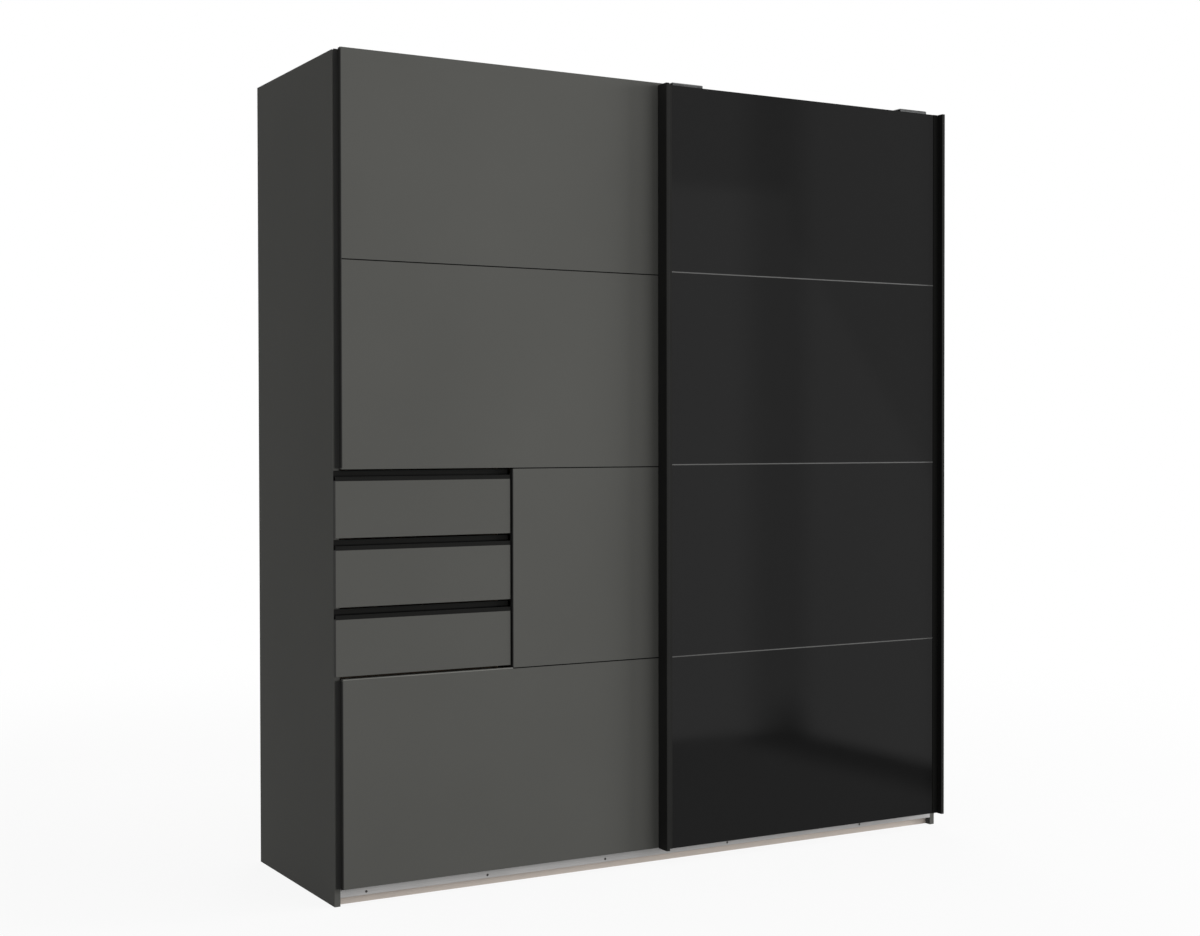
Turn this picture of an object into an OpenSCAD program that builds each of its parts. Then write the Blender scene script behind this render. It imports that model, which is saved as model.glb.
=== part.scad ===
// Wardrobe with two sliding doors and three outside drawers.
// The rear door and the front door hang on a two-lane top track and are guided in a two-groove
// bottom rail, so that they pass each other in front of the carcass.
// Origin: middle of the whole footprint, on the floor. +X right, +Y to the back, +Z up.
// Every module is drawn from the carcass's front plane (y = 0), and at_front() sets it in place.

/* [Carcass] */
// Width over the side panels
carcass_w = 2000; // [1700:10:2600]
// Height of the side panels
carcass_h = 2215; // [2000:5:2400]
// Depth of the side panels
carcass_d = 580; // [500:5:700]
// Thickness of the carcass boards
board_t = 16; // [15:0.5:19]
// Thickness of the back panels
back_t = 3; // [2.5:0.5:6]
// Depth of the rebate that takes the back panels, from the rear edges
rebate_d = 11; // [8:1:18]
// Width of the rebate's step in the side panels
rebate_w = 8; // [5:1:10]
// Height of the plinth boards
plinth_h = 22.5; // [20:0.5:80]
// Set-back of the front plinth board
plinth_setback = 21; // [5:1:60]
// How far the top panel lies below the side panels' top edges
top_recess = 34; // [34:1:60]
// Set-back of the partitions and shelves behind the carcass's front plane
inner_setback = 30; // [28:1:60]

/* [Interior] */
// Height of the space above the hat shelves
hat_space_h = 300; // [220:10:420]
// Drop from a hat shelf's underside to the middle of its clothes rail
rail_drop = 45; // [35:1:80]
// Width of the oval clothes rail tube
tube_w = 15; // [12:1:20]
// Height of the oval clothes rail tube
tube_h = 30; // [24:1:36]
// Wall of the clothes rail tube
tube_wall = 1.2; // [0.8:0.1:2]
// Diameter of the shelf pins
pin_d = 5; // [3:0.5:7]
// How deep a shelf pin sits in its board
pin_depth = 7; // [5:0.5:7]
// How far a shelf pin stands out under its shelf
pin_out = 8; // [6:1:14]

/* [Top track] */
// Height of the track's running ribs above its base
rib_h = 5; // [4:0.5:8]
// Thickness of a running rib
rib_t = 3; // [2:0.2:3.4]
// Thickness of the track's base
track_base_t = 2; // [1.5:0.5:3]
// Distance of the rear door's running rib from the carcass's front plane
rib_1_y = 11; // [9:0.5:16]
// Distance between the two running ribs
rib_spacing = 24; // [22:0.5:30]
// Outer radius of a track wheel
wheel_r = 12; // [10:0.5:14]
// Depth of the groove round a track wheel
wheel_groove = 2.5; // [1.5:0.1:3]
// Width of a track wheel
wheel_w = 10; // [8:0.5:12]
// Diameter of the axles
axle_d = 6; // [4:0.5:8]

/* [Bottom rail] */
// Height of the bottom guide rail
rail_h = 19.5; // [18:0.5:26]
// Depth of the bottom guide rail, front to back
rail_d = 24; // [23:0.5:28]
// Wall of the bottom guide rail
rail_wall = 1.8; // [1.4:0.1:2.4]
// Depth of the two grooves in the rail
groove_depth = 7; // [6:0.5:9]
// Height of the rail's screws above its lower edge
rail_screw_h = 8; // [7:0.5:9]
// Distance of the first rail screw from the wardrobe's left side
screw_from_left = 88; // [40:1:150]
// Shift of the second rail screw from the left quarter point
screw_quarter_shift = -60; // [-120:1:120]
// Position of the third rail screw, from the middle
screw_middle_left = -192; // [-300:1:-20]
// Position of the fourth rail screw, from the middle
screw_middle_right = 220; // [20:1:400]
// Distance of the last rail screw from the wardrobe's right side
screw_from_right = 294; // [40:1:400]
// Diameter of a rail screw's head
screw_head_d = 7; // [5:0.5:8]
// Diameter of a rail screw's shank
screw_d = 4; // [3:0.5:5]
// How deep a rail screw goes into the bottom panel
screw_grip = 18; // [12:1:30]

/* [Doors] */
// Gap from the carcass's front plane to the rear door
door_gap = 4; // [4:0.5:8]
// Thickness of the rear door's panels
door_t = 16; // [14:1:22]
// Clear gap between the two doors
lane_gap = 3; // [2:0.5:8]
// Width over which the closed doors overlap
door_overlap = 58; // [45:1:90]
// How far the rear door's top edge stands above the side panels
rear_rise = 5; // [2:1:12]
// How far the front door's top edge lies below the side panels' top
front_drop = 3; // [0:1:12]
// Distance at which the rubber stops end the travel short of the full door width
stop_margin = 5; // [2:1:40]
// Visible width of the strips between the door's rows
joint_w = 3; // [2:0.5:6]
// Width of the flange behind the joint strips
joint_flange_w = 24; // [16:1:40]
// Thickness of the strips' flanges
joint_flange_t = 1.5; // [1:0.1:1.8]

/* [Rear door] */
// Thickness of the black edge profiles
edge_t = 2; // [1.5:0.1:3]
// Width of the edge profile's lip in front of the side panel
edge_lip_w = 12; // [8:1:14]
// Thickness of that lip
edge_lip_t = 1.8; // [1.2:0.1:2]
// Height of the panel edge left bare above the edge profiles
edge_bare = 3.5; // [2:0.5:6]

/* [Front door] */
// Thickness of the glass panes
glass_t = 4; // [3:0.5:6]
// Thickness of the backing boards
backing_t = 12; // [8:1:16]
// How much lower the topmost pane is than the others
top_pane_less = 19; // [0:1:60]
// Thickness of the grip fin
fin_t = 11; // [8:0.5:16]
// How far the grip fin stands in front of the glass
fin_proud = 20; // [12:1:30]
// How far the handle profile reaches behind the glass face
handle_rear = 24; // [24:1:32]
// Width of the flange that laps over the glass
handle_flange_w = 19; // [12:1:30]
// Thickness of the handle profile's flanges
handle_flange_t = 1.5; // [1:0.1:2.5]
// Wall of the hollow handle profile
handle_wall = 1.8; // [1.2:0.1:3]
// Radius of the grip fin's front edges
fin_round = 1.5; // [0.5:0.5:3]

/* [Door gear] */
// Thickness of the carriage plates
plate_t = 2.5; // [2:0.1:3]
// Width of the carriages
carriage_w = 100; // [60:5:140]
// Height of a carriage's fixing leg below the door's top edge
carriage_leg = 60; // [45:5:100]
// Inner radius of the bends in the carriage and guide plates
bend_r = 1.5; // [1:0.5:3]
// Radius of the plates' corners
plate_corner_r = 6; // [2:1:8]
// Width of the slots for the plates' fixing screws
slot_w = 5.5; // [4.5:0.5:6.5]
// Height of those slots
slot_h = 12; // [8:1:14]
// Distance of a slot's middle from its plate's free end
slot_end = 18; // [12:1:22]
// Distance from a door's edge to the middle of its carriage
carriage_inset = 95; // [75:5:180]
// Diameter of the shoulder and the head that hold a wheel on its axle
axle_head_d = 10; // [8.5:0.5:14]
// Thickness of an axle's head
axle_head_t = 2; // [1.5:0.5:3]
// Width of the bottom guides
guide_w = 40; // [24:2:60]
// Height of a bottom guide's fixing leg
guide_leg = 38; // [28:2:60]
// Running clearance of the gear past other pieces
gear_clear = 1.25; // [1:0.05:2]
// Clearance of the hooks over the rear door's top edge
hook_clear = 1.8; // [1:0.1:4]
// Side clearance of a guide shoe in its groove
shoe_clear = 0.5; // [0.3:0.1:1]

/* [Drawers] */
// Width of the drawer fronts
drawer_w = 502.5; // [400:2.5:520]
// Gap between a drawer front and the rear door's cut-out
notch_gap = 6.5; // [3:0.5:10]
// Gap above the top drawer
drawer_top_gap = 3.5; // [2:0.5:8]
// Gap under the bottom drawer
drawer_bottom_gap = 10.5; // [4:0.5:20]
// Gap between two drawers
drawer_gap = 5; // [3:0.5:8]
// Thickness of the drawer fronts
front_t = 16; // [14:1:18]
// Gap behind the drawer fronts
front_gap = 1; // [0.5:0.5:2]
// Height of the grip profile on a drawer front
grip_h = 27; // [22:1:40]
// Height of the grip's front lip
grip_lip_h = 11.5; // [8:0.5:16]
// Wall of the grip profile
grip_wall = 1.5; // [1:0.1:2.5]
// Length of the drawer boxes
box_d = 480; // [380:10:490]
// Height of the drawer boxes
box_h = 120; // [80:5:130]
// Thickness of the drawer boxes' sides
box_t = 12; // [10:1:16]
// Thickness of the drawer bottoms
bottom_t = 3; // [3:0.5:6]
// Height of a drawer box above its front's lower edge
box_lift = 12; // [8:1:20]
// Height of a drawer bottom above its box's lower edge
bottom_lift = 9; // [6:1:16]
// Slack of a drawer bottom in its groove
groove_slack = 0.1; // [0.05:0.05:0.3]
// How far a drawer's box stays inside the carcass when it is fully open
box_kept = 130; // [100:5:200]

/* [Drawer runners] */
// Gap between a drawer box and the board beside it
runner_gap = 12.5; // [12:0.5:15]
// Sheet thickness of the runners
runner_t = 1.2; // [1:0.1:1.5]
// Inner radius of the bends in the runners
runner_bend_r = 0.8; // [0.4:0.1:0.9]
// Height of the cabinet runner
runner_h = 35; // [33:1:45]
// How much shorter a cabinet runner is than the drawer box
runner_short = 30; // [10:5:60]
// Set-back of the cabinet runners behind the partitions' front edges
runner_inset = 2; // [0:1:6]
// Radius of the runner's rollers
roller_r = 11; // [9:0.5:12]
// Width of the rollers
roller_w = 6; // [5:0.5:7]
// Diameter of the rollers' axles
roller_axle_d = 4; // [3:0.5:6]
// Height of a drawer runner's web above its flange
web_h = 8; // [6:0.5:8]
// Length of the tab that carries a rear roller
tab_len = 30; // [26:1:50]

/* [Hidden] */
$fn = 48;

// Overlap that lets cutting tools pass through a face
cut = 1;
// Running clearance of a bore on its axle, on the radius
bore_clear = 0.05;
// Space between a wheel or roller and the surface it rolls on
roll_gap = 0.3;
// Play of a track rib in a wheel's groove, on each side
groove_play = 0.3;
// How far the drawer partition stands past the drawer fronts' ends
partition_lap = 1.5;
// Width of the track's base behind its rear rib
track_margin = 11;
// Height of a runner's middle above its drawer box's lower edge
runner_lift = 6;
// Gap between a cabinet runner's lips and the drawer box
lip_gap = 2.5;
// Gap between a roller's rim and the end of its runner
roller_end_gap = 2;
// Gap between a roller and the sheet beside it
roller_side_gap = 1;

graphite = "#56564f";
beige = "#cdbba6";
black_profile = "#1c1c1b";
black_glass = "#262626";
silver = "#b9b6b2";
white_steel = "#d9dad8";
nylon = "#e6e2d8";

// Carcass
half_w = carcass_w / 2;
inner_x = half_w - board_t;
inner_w = inner_x - board_t / 2;
back_y = carcass_d - rebate_d;
floor_z = plinth_h + board_t;
top_panel_z = carcass_h - top_recess;
ceiling_z = top_panel_z - board_t;

// Doors, from the carcass's front plane outwards
rear_back_y = -door_gap;
rear_face_y = rear_back_y - door_t;
handle_back_y = rear_face_y - lane_gap;
glass_y = handle_back_y - handle_rear;
fin_y = glass_y - fin_proud;
backing_y = glass_y + glass_t + backing_t;
door_inset = board_t;
door_w = (carcass_w - 2 * door_inset + door_overlap) / 2;
door_travel = door_w - door_overlap - stop_margin;
rear_x = -half_w + door_inset;
front_x = half_w - door_inset - door_w;
rows = 4;
rail_top_z = plinth_h + rail_h;
door_bottom_z = rail_top_z + plate_t + 2 * gear_clear;
rear_top_z = carcass_h + rear_rise;
front_top_z = carcass_h - front_drop;
row_pitch = (rear_top_z - door_bottom_z) / rows;
pane_pitch = (front_top_z - door_bottom_z + top_pane_less) / rows;

// The frame's origin lies in the middle of the footprint
front_y = -(carcass_d + fin_y) / 2;

// Drawers
notch_x = -half_w + drawer_w + notch_gap;
notch_bottom_z = door_bottom_z + row_pitch - joint_w / 2;
notch_top_z = door_bottom_z + 2 * row_pitch + joint_w / 2;
drawer_count = 3;
stack_h = notch_top_z - notch_bottom_z - drawer_top_gap - drawer_bottom_gap;
drawer_h = (stack_h - (drawer_count - 1) * drawer_gap) / drawer_count;
drawer_pitch = drawer_h + drawer_gap;
front_y0 = -front_gap - front_t;
partition_x1 = -half_w + drawer_w + partition_lap;
partition_x0 = partition_x1 - board_t;
box_x0 = -inner_x + runner_gap;
box_x1 = partition_x0 - runner_gap;
drawer_travel = box_d - box_kept;

// Track gear
track_y0 = 2;
rib_2_y = rib_1_y + rib_spacing;
rib_top_z = top_panel_z + track_base_t + rib_h;
tread_r = wheel_r - wheel_groove;
wheel_z = rib_top_z + roll_gap + tread_r;
strap_z = rear_top_z + hook_clear;
groove_w = (rail_d - 3 * rail_wall) / 2;
shoe_w = groove_w - 2 * shoe_clear;
groove_1_y = rail_wall + groove_w / 2;
groove_2_y = groove_1_y + groove_w + rail_wall;
groove_floor_z = rail_top_z - groove_depth;

// Positions of the rail's screws: one from each end, and three about the quarter points
rail_screw_x = [screw_from_left - half_w, screw_quarter_shift - half_w / 2, screw_middle_left,
  screw_middle_right, half_w - screw_from_right];

module at_front() {
  translate([0, front_y, 0]) children();
}

// A box between two corners
module block(low, high) {
  translate(low) cube(high - low);
}

// A cylinder along X, Y or Z that starts at a point
module rod_x(p, d, len) {
  translate(p) rotate([0, 90, 0]) cylinder(d = d, h = len);
}

module rod_y(p, d, len) {
  translate(p) rotate([-90, 0, 0]) cylinder(d = d, h = len);
}

// Extrudes along X a section whose own x lies along Y, and whose y starts at height z
module along_x(x0, x1, z) {
  translate([x0, 0, z]) rotate([90, 0, 90]) linear_extrude(x1 - x0) children();
}

// Extrudes along Y a section drawn as it is seen from the front
module along_y(y0, y1) {
  translate([0, y1, 0]) rotate([90, 0, 0]) linear_extrude(y1 - y0) children();
}

// Upright oval, with flat sides and round ends
module oval(w, h) {
  for (s = [-1, 1]) translate([0, s * (h - w) / 2]) circle(d = w);
  square([w, h - w], center = true);
}

// Rectangle with rounded corners
module rounded(w, h, r) {
  translate([r, 0]) square([w - 2 * r, h]);
  translate([0, r]) square([w, h - 2 * r]);
  for (x = [r, w - r], y = [r, h - r]) translate([x, y]) circle(r);
}

// Rectangle with rounded upper corners
module arch(w, h, r) {
  square([w, h - r]);
  translate([r, 0]) square([w - 2 * r, h]);
  for (x = [r, w - r]) translate([x, h - r]) circle(r);
}

// Section of a strip bent into a channel that is open downwards
module bent_channel(w, h, t, r) {
  difference() {
    arch(w, h, r + t);
    translate([t, -cut]) arch(w - 2 * t, h - t + cut, r);
  }
}

// Section of a strip bent to an angle, with its outer corner at the origin
module bent_angle(w, h, t, r) {
  translate([r + t, 0]) square([w - r - t, t]);
  translate([0, r + t]) square([t, h - r - t]);
  intersection() {
    translate([r + t, r + t]) difference() {
      circle(r + t);
      circle(r);
    }
    square(r + t);
  }
}

// ---- Carcass ----

hat_shelf_z = ceiling_z - hat_space_h - board_t;
pin_inset = 60;
pin_ys = [inner_setback + pin_inset, back_y - pin_inset];

// Bores for the shelf pins in the board face at x, drilled towards dir
module pin_bores(x, dir) {
  for (y = pin_ys)
    rod_x([dir > 0 ? x - cut : x - pin_depth, y, hat_shelf_z - pin_d / 2], pin_d, pin_depth + cut);
}

module side_panel(side) {
  difference() {
    block([side > 0 ? inner_x : -half_w, 0, 0], [side > 0 ? half_w : -inner_x, carcass_d, carcass_h]);
    translate([side > 0 ? inner_x - cut : -inner_x - rebate_w, back_y, plinth_h])
      cube([rebate_w + cut, rebate_d + cut, carcass_h]);
    pin_bores(side * inner_x, side);
  }
}

module side_panel_left() {
  color(graphite) at_front() side_panel(-1);
}

module side_panel_right() {
  color(graphite) at_front() side_panel(1);
}

module centre_partition() {
  color(beige) at_front() difference() {
    block([-board_t / 2, inner_setback, floor_z], [board_t / 2, back_y, ceiling_z]);
    pin_bores(board_t / 2, -1);
    pin_bores(-board_t / 2, 1);
  }
}

module top_panel() {
  color(graphite) at_front()
    block([-inner_x, track_y0, ceiling_z], [inner_x, back_y, top_panel_z]);
}

module bottom_panel() {
  color(beige) at_front() difference() {
    block([-inner_x, rail_d, plinth_h], [inner_x, back_y, floor_z]);
    for (x = rail_screw_x)
      rod_y([x, rail_d - cut, plinth_h + rail_screw_h], screw_d, screw_grip + cut);
  }
}

module plinth_boards() {
  color(beige) at_front() {
    block([-inner_x, plinth_setback, 0], [inner_x, plinth_setback + board_t, plinth_h]);
    block([-inner_x, back_y - board_t, 0], [inner_x, back_y, plinth_h]);
  }
}

module back_panel(x0, x1) {
  block([x0, back_y, plinth_h], [x1, back_y + back_t, top_panel_z]);
}

module back_panel_left() {
  color(beige) at_front() back_panel(-inner_x - rebate_w, 0);
}

module back_panel_right() {
  color(beige) at_front() back_panel(0, inner_x + rebate_w);
}

// ---- Interior ----

middle_board_z = notch_top_z;
unit_floor_z = notch_bottom_z;

module drawer_partition() {
  color(beige) at_front()
    block([partition_x0, inner_setback, floor_z], [partition_x1, back_y, middle_board_z]);
}

module middle_board() {
  color(beige) at_front()
    block([-inner_x, inner_setback, middle_board_z], [-board_t / 2, back_y, middle_board_z + board_t]);
}

module drawer_unit_floor() {
  color(beige) at_front()
    block([-inner_x, inner_setback, unit_floor_z - board_t], [partition_x0, back_y, unit_floor_z]);
}

module hat_shelves() {
  color(beige) at_front() for (side = [-1, 1])
    translate([side * (inner_x + board_t / 2) / 2 - inner_w / 2, inner_setback, hat_shelf_z])
      cube([inner_w, back_y - inner_setback, board_t]);
}

module shelf_pins() {
  color(silver) at_front() for (side = [-1, 1], y = pin_ys) {
    rod_x([side > 0 ? board_t / 2 - pin_depth : -board_t / 2 - pin_out, y, hat_shelf_z - pin_d / 2],
      pin_d, pin_depth + pin_out);
    rod_x([side > 0 ? inner_x - pin_out : -inner_x - pin_depth, y, hat_shelf_z - pin_d / 2],
      pin_d, pin_depth + pin_out);
  }
}

rail_y = (inner_setback + back_y) / 2;
clothes_rail_z = hat_shelf_z - rail_drop;
socket_t = 3;
socket_wall = 2;
socket_rim = 6;
socket_d = 14;

module clothes_rail_tube(x0, x1) {
  translate([x0, rail_y, clothes_rail_z]) rotate([90, 0, 90]) linear_extrude(x1 - x0) difference() {
    oval(tube_w, tube_h);
    oval(tube_w - 2 * tube_wall, tube_h - 2 * tube_wall);
  }
}

module clothes_rails() {
  color(silver) at_front() {
    clothes_rail_tube(-inner_x + socket_t, -board_t / 2 - socket_t);
    clothes_rail_tube(board_t / 2 + socket_t, inner_x - socket_t);
  }
}

// End fitting: a wall plate with an oval collar that holds the tube
module rail_socket(x, dir) {
  translate([x, rail_y, clothes_rail_z]) mirror([dir > 0 ? 0 : 1, 0, 0]) rotate([90, 0, 90]) {
    linear_extrude(socket_t) oval(tube_w + 2 * socket_rim, tube_h + 2 * socket_rim);
    linear_extrude(socket_d) difference() {
      oval(tube_w + 2 * socket_wall, tube_h + 2 * socket_wall);
      oval(tube_w, tube_h);
    }
  }
}

module clothes_rail_sockets() {
  color(nylon) at_front() {
    rail_socket(-inner_x, 1);
    rail_socket(-board_t / 2, -1);
    rail_socket(board_t / 2, 1);
    rail_socket(inner_x, -1);
  }
}

// ---- Top track ----

track_y1 = rib_2_y + track_margin;

module running_rib(y) {
  translate([y - rib_t / 2, 0]) square([rib_t, track_base_t + rib_h - rib_t / 2]);
  translate([y, track_base_t + rib_h - rib_t / 2]) circle(d = rib_t);
}

// Cross-section of the track, across its length
module track_section() {
  translate([track_y0, 0]) square([track_y1 - track_y0, track_base_t]);
  translate([track_y1 - track_base_t, 0]) square([track_base_t, track_base_t + rib_h]);
  running_rib(rib_1_y);
  running_rib(rib_2_y);
}

module top_track() {
  color(silver) at_front() along_x(-inner_x, inner_x, top_panel_z) track_section();
}

// The rubber stops clip over the ribs just past the outer wheels' last places
stop_len = 18;
stop_gap = 0.5;
stop_w = 9;
stop_round = 2;
stop_x_closed = inner_x - carriage_inset + wheel_r + stop_gap;
stop_x_open = stop_x_closed - stop_margin;

module track_stop(x, y) {
  base_z = top_panel_z + track_base_t;
  along_x(x, x + stop_len, base_z) translate([y - stop_w / 2, 0]) difference() {
    arch(stop_w, wheel_z - base_z, stop_round);
    translate([(stop_w - rib_t) / 2, -cut]) square([rib_t, rib_h + cut]);
  }
}

module track_end_stops() {
  color(black_profile) at_front() {
    track_stop(-stop_x_closed - stop_len, rib_1_y);
    track_stop(stop_x_open, rib_1_y);
    track_stop(stop_x_closed, rib_2_y);
    track_stop(-stop_x_open - stop_len, rib_2_y);
  }
}

// ---- Bottom rail ----

module rail_section() {
  chamber_top = rail_h - groove_depth - rail_wall;
  difference() {
    square([rail_d, rail_h]);
    translate([rail_wall, rail_wall]) square([rail_d - 2 * rail_wall, chamber_top - rail_wall]);
    for (y = [groove_1_y, groove_2_y])
      translate([y - groove_w / 2, rail_h - groove_depth]) square([groove_w, groove_depth + cut]);
  }
}

module bottom_guide_rail() {
  color(silver) at_front() difference() {
    along_x(-inner_x, inner_x, plinth_h) rail_section();
    for (x = rail_screw_x) {
      rod_y([x, -cut, plinth_h + rail_screw_h], screw_d, rail_d + 2 * cut);
      rod_y([x, -cut, plinth_h + rail_screw_h], screw_head_d, cut + rail_wall / 2);
    }
  }
}

module guide_rail_screws() {
  color(black_profile) at_front() for (x = rail_screw_x) {
    rod_y([x, 0, plinth_h + rail_screw_h], screw_head_d, rail_wall / 2);
    rod_y([x, 0, plinth_h + rail_screw_h], screw_d, rail_d + screw_grip);
  }
}

// ---- Track wheels ----

// Grooved wheel about the Y axis, centred on the origin
module track_wheel() {
  groove_half = rib_t / 2 + groove_play;
  bore_r = axle_d / 2 + bore_clear;
  rotate([90, 0, 0]) rotate_extrude() polygon([
    [bore_r, -wheel_w / 2],
    [wheel_r, -wheel_w / 2],
    [wheel_r, -groove_half - wheel_groove / 2],
    [tread_r, -groove_half],
    [tread_r, groove_half],
    [wheel_r, groove_half + wheel_groove / 2],
    [wheel_r, wheel_w / 2],
    [bore_r, wheel_w / 2],
  ]);
}

// ---- Left door: runs in the rear lane ----

module rear_panel(row, x0) {
  z0 = door_bottom_z + (rows - row) * row_pitch + (row == rows ? 0 : joint_w / 2);
  z1 = door_bottom_z + (rows - row + 1) * row_pitch - (row == 1 ? 0 : joint_w / 2);
  difference() {
    block([x0, rear_face_y, z0], [rear_x + door_w, rear_back_y, z1]);
    rear_edges();
  }
}

// Section of an edge profile: a wall over the panel's edge and a lip in front of the side panel
module edge_section(lip) {
  translate([0, rear_face_y]) square([edge_t, door_t]);
  if (lip) translate([-edge_lip_w, rear_back_y]) square([edge_lip_w + edge_t, edge_lip_t]);
}

module edge_profile(x, dir, z0, z1, lip) {
  translate([x, 0, z0]) mirror([dir > 0 ? 1 : 0, 0, 0]) linear_extrude(z1 - z0) edge_section(lip);
}

module rear_edges() {
  edge_profile(rear_x, -1, notch_top_z + edge_bare, rear_top_z - edge_bare, true);
  edge_profile(rear_x, -1, door_bottom_z, notch_bottom_z - edge_bare / 2, true);
  edge_profile(notch_x, -1, notch_bottom_z + joint_w, notch_top_z - joint_w, false);
  edge_profile(rear_x + door_w, 1, door_bottom_z, rear_top_z - edge_bare, true);
}

module left_door_panel_1() {
  color(graphite) at_front() rear_panel(1, rear_x);
}

module left_door_panel_2() {
  color(graphite) at_front() rear_panel(2, rear_x);
}

module left_door_panel_3() {
  color(graphite) at_front() rear_panel(3, notch_x);
}

module left_door_panel_4() {
  color(graphite) at_front() rear_panel(4, rear_x);
}

module left_door_edge_profiles() {
  color(black_profile) at_front() rear_edges();
}

// T-shaped strip: a web between two rows, and a flange behind both
module joint_strip(x0, x1, z, y0, y1) {
  along_x(x0, x1, z) {
    translate([y0, -joint_w / 2]) square([y1 - y0, joint_w]);
    translate([y1, -joint_flange_w / 2]) square([joint_flange_t, joint_flange_w]);
  }
}

module left_door_joint_strips() {
  x1 = rear_x + door_w - edge_t;
  color(black_profile) at_front() {
    joint_strip(rear_x + edge_t, x1, door_bottom_z + 3 * row_pitch, rear_face_y, rear_back_y);
    for (i = [1, 2])
      joint_strip(notch_x + edge_t, x1, door_bottom_z + i * row_pitch, rear_face_y, rear_back_y);
  }
}

function carriage_xs(x0) = [x0 + carriage_inset, x0 + door_w - carriage_inset];

// Gap between a hook's drop plate and its wheel
drop_gap = 1.5;
// Length of a bent plate's short leg, over the bend
fold_h = plate_t + bend_r + 2 * plate_corner_r;

// Plate of height h on z, w wide about x, with two slots near its free end: the upper end, or the
// lower end where dir is negative
module slotted_plate(x, y0, z, w, h, dir) {
  along_y(y0, y0 + plate_t) translate([x, z]) difference() {
    translate([-w / 2, 0]) rounded(w, h, plate_corner_r);
    for (side = [-1, 1])
      translate([side * w / 4, dir > 0 ? h - slot_end : slot_end]) oval(slot_w, slot_h);
  }
}

// Stub axle from y0 to the wheel at wheel_y, with a shoulder before it and a head behind it
module stub_axle(x, y0, wheel_y) {
  wheel_y0 = wheel_y - wheel_w / 2 - bore_clear;
  wheel_y1 = wheel_y + wheel_w / 2 + bore_clear;
  rod_y([x, y0, wheel_z], axle_head_d, wheel_y0 - y0);
  rod_y([x, y0, wheel_z], axle_d, wheel_y1 - y0 + axle_head_t);
  rod_y([x, wheel_y1, wheel_z], axle_head_d, axle_head_t);
}

// Carriage plate on the door's back, with its stub axle
module rear_carriage(x) {
  z = rear_top_z - carriage_leg;
  slotted_plate(x, rear_back_y, z, carriage_w, wheel_z + wheel_r - z, -1);
  stub_axle(x, rear_back_y, rib_1_y);
}

module left_door_carriages() {
  color(silver) at_front() for (x = carriage_xs(rear_x)) rear_carriage(x);
}

module left_door_wheel(i) {
  color(nylon) at_front() translate([carriage_xs(rear_x)[i], rib_1_y, wheel_z]) track_wheel();
}

module left_door_wheel_1() {
  left_door_wheel(0);
}

module left_door_wheel_2() {
  left_door_wheel(1);
}

shoe_z = groove_floor_z + gear_clear;

// Guide of a door whose back is at y0: a leg on the door's back, an arm at arm_z towards the rail,
// and a shoe with round ends in the groove at groove_y
module door_guide(x, y0, arm_z, groove_y) {
  leg_z = arm_z + plate_t + bend_r;
  slotted_plate(x, y0, leg_z, guide_w, door_bottom_z + guide_leg - leg_z, 1);
  along_x(x - guide_w / 2, x + guide_w / 2, arm_z) translate([y0, 0])
    bent_angle(groove_y - y0, fold_h, plate_t, bend_r);
  translate([x, groove_y, shoe_z]) linear_extrude(arm_z + plate_t - shoe_z) rotate(90)
    oval(shoe_w, guide_w);
}

// The rear door's guides reach over the front groove
module left_door_guides() {
  color(black_profile) at_front() for (x = carriage_xs(rear_x))
    door_guide(x, rear_back_y, door_bottom_z, groove_2_y);
}

// ---- Right door: runs in the front lane ----

pane_x0 = front_x + fin_t;
pane_x1 = front_x + door_w - fin_t;

module pane_row(row, y0, y1) {
  z0 = door_bottom_z + (rows - row) * pane_pitch + (row == rows ? 0 : joint_w / 2);
  z1 = row == 1 ? front_top_z : door_bottom_z + (rows - row + 1) * pane_pitch - joint_w / 2;
  block([pane_x0, y0, z0], [pane_x1, y1, z1]);
}

module right_door_pane(row) {
  color(black_glass) at_front() pane_row(row, glass_y, glass_y + glass_t);
}

module right_door_pane_1() {
  right_door_pane(1);
}

module right_door_pane_2() {
  right_door_pane(2);
}

module right_door_pane_3() {
  right_door_pane(3);
}

module right_door_pane_4() {
  right_door_pane(4);
}

module right_door_backing() {
  color(graphite) at_front() for (row = [1:rows]) pane_row(row, glass_y + glass_t, backing_y);
}

// Handle profile: a hollow wall that ends in the grip fin, and two flanges that hold the panes
module handle_section() {
  difference() {
    translate([fin_t, handle_back_y]) rotate(180) arch(fin_t, handle_back_y - fin_y, fin_round);
    translate([handle_wall, fin_y + handle_wall])
      square([fin_t - 2 * handle_wall, glass_y - fin_y - 2 * handle_wall]);
    translate([handle_wall, glass_y])
      square([fin_t - 2 * handle_wall, handle_back_y - glass_y - handle_wall]);
  }
  translate([0, glass_y - handle_flange_t]) square([fin_t + handle_flange_w, handle_flange_t]);
  translate([0, backing_y]) square([fin_t + handle_flange_w, handle_flange_t]);
}

module handle(mirrored) {
  translate([mirrored ? front_x + door_w : front_x, 0, door_bottom_z])
    mirror([mirrored ? 1 : 0, 0, 0])
      linear_extrude(front_top_z - door_bottom_z) handle_section();
}

module right_door_handle_left() {
  color(black_profile) at_front() handle(false);
}

module right_door_handle_right() {
  color(black_profile) at_front() handle(true);
}

module right_door_joint_strips() {
  x0 = pane_x0 + handle_flange_w;
  x1 = pane_x1 - handle_flange_w;
  color(silver) at_front() for (i = [1:rows - 1])
    joint_strip(x0, x1, door_bottom_z + i * pane_pitch, glass_y, backing_y);
}

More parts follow.
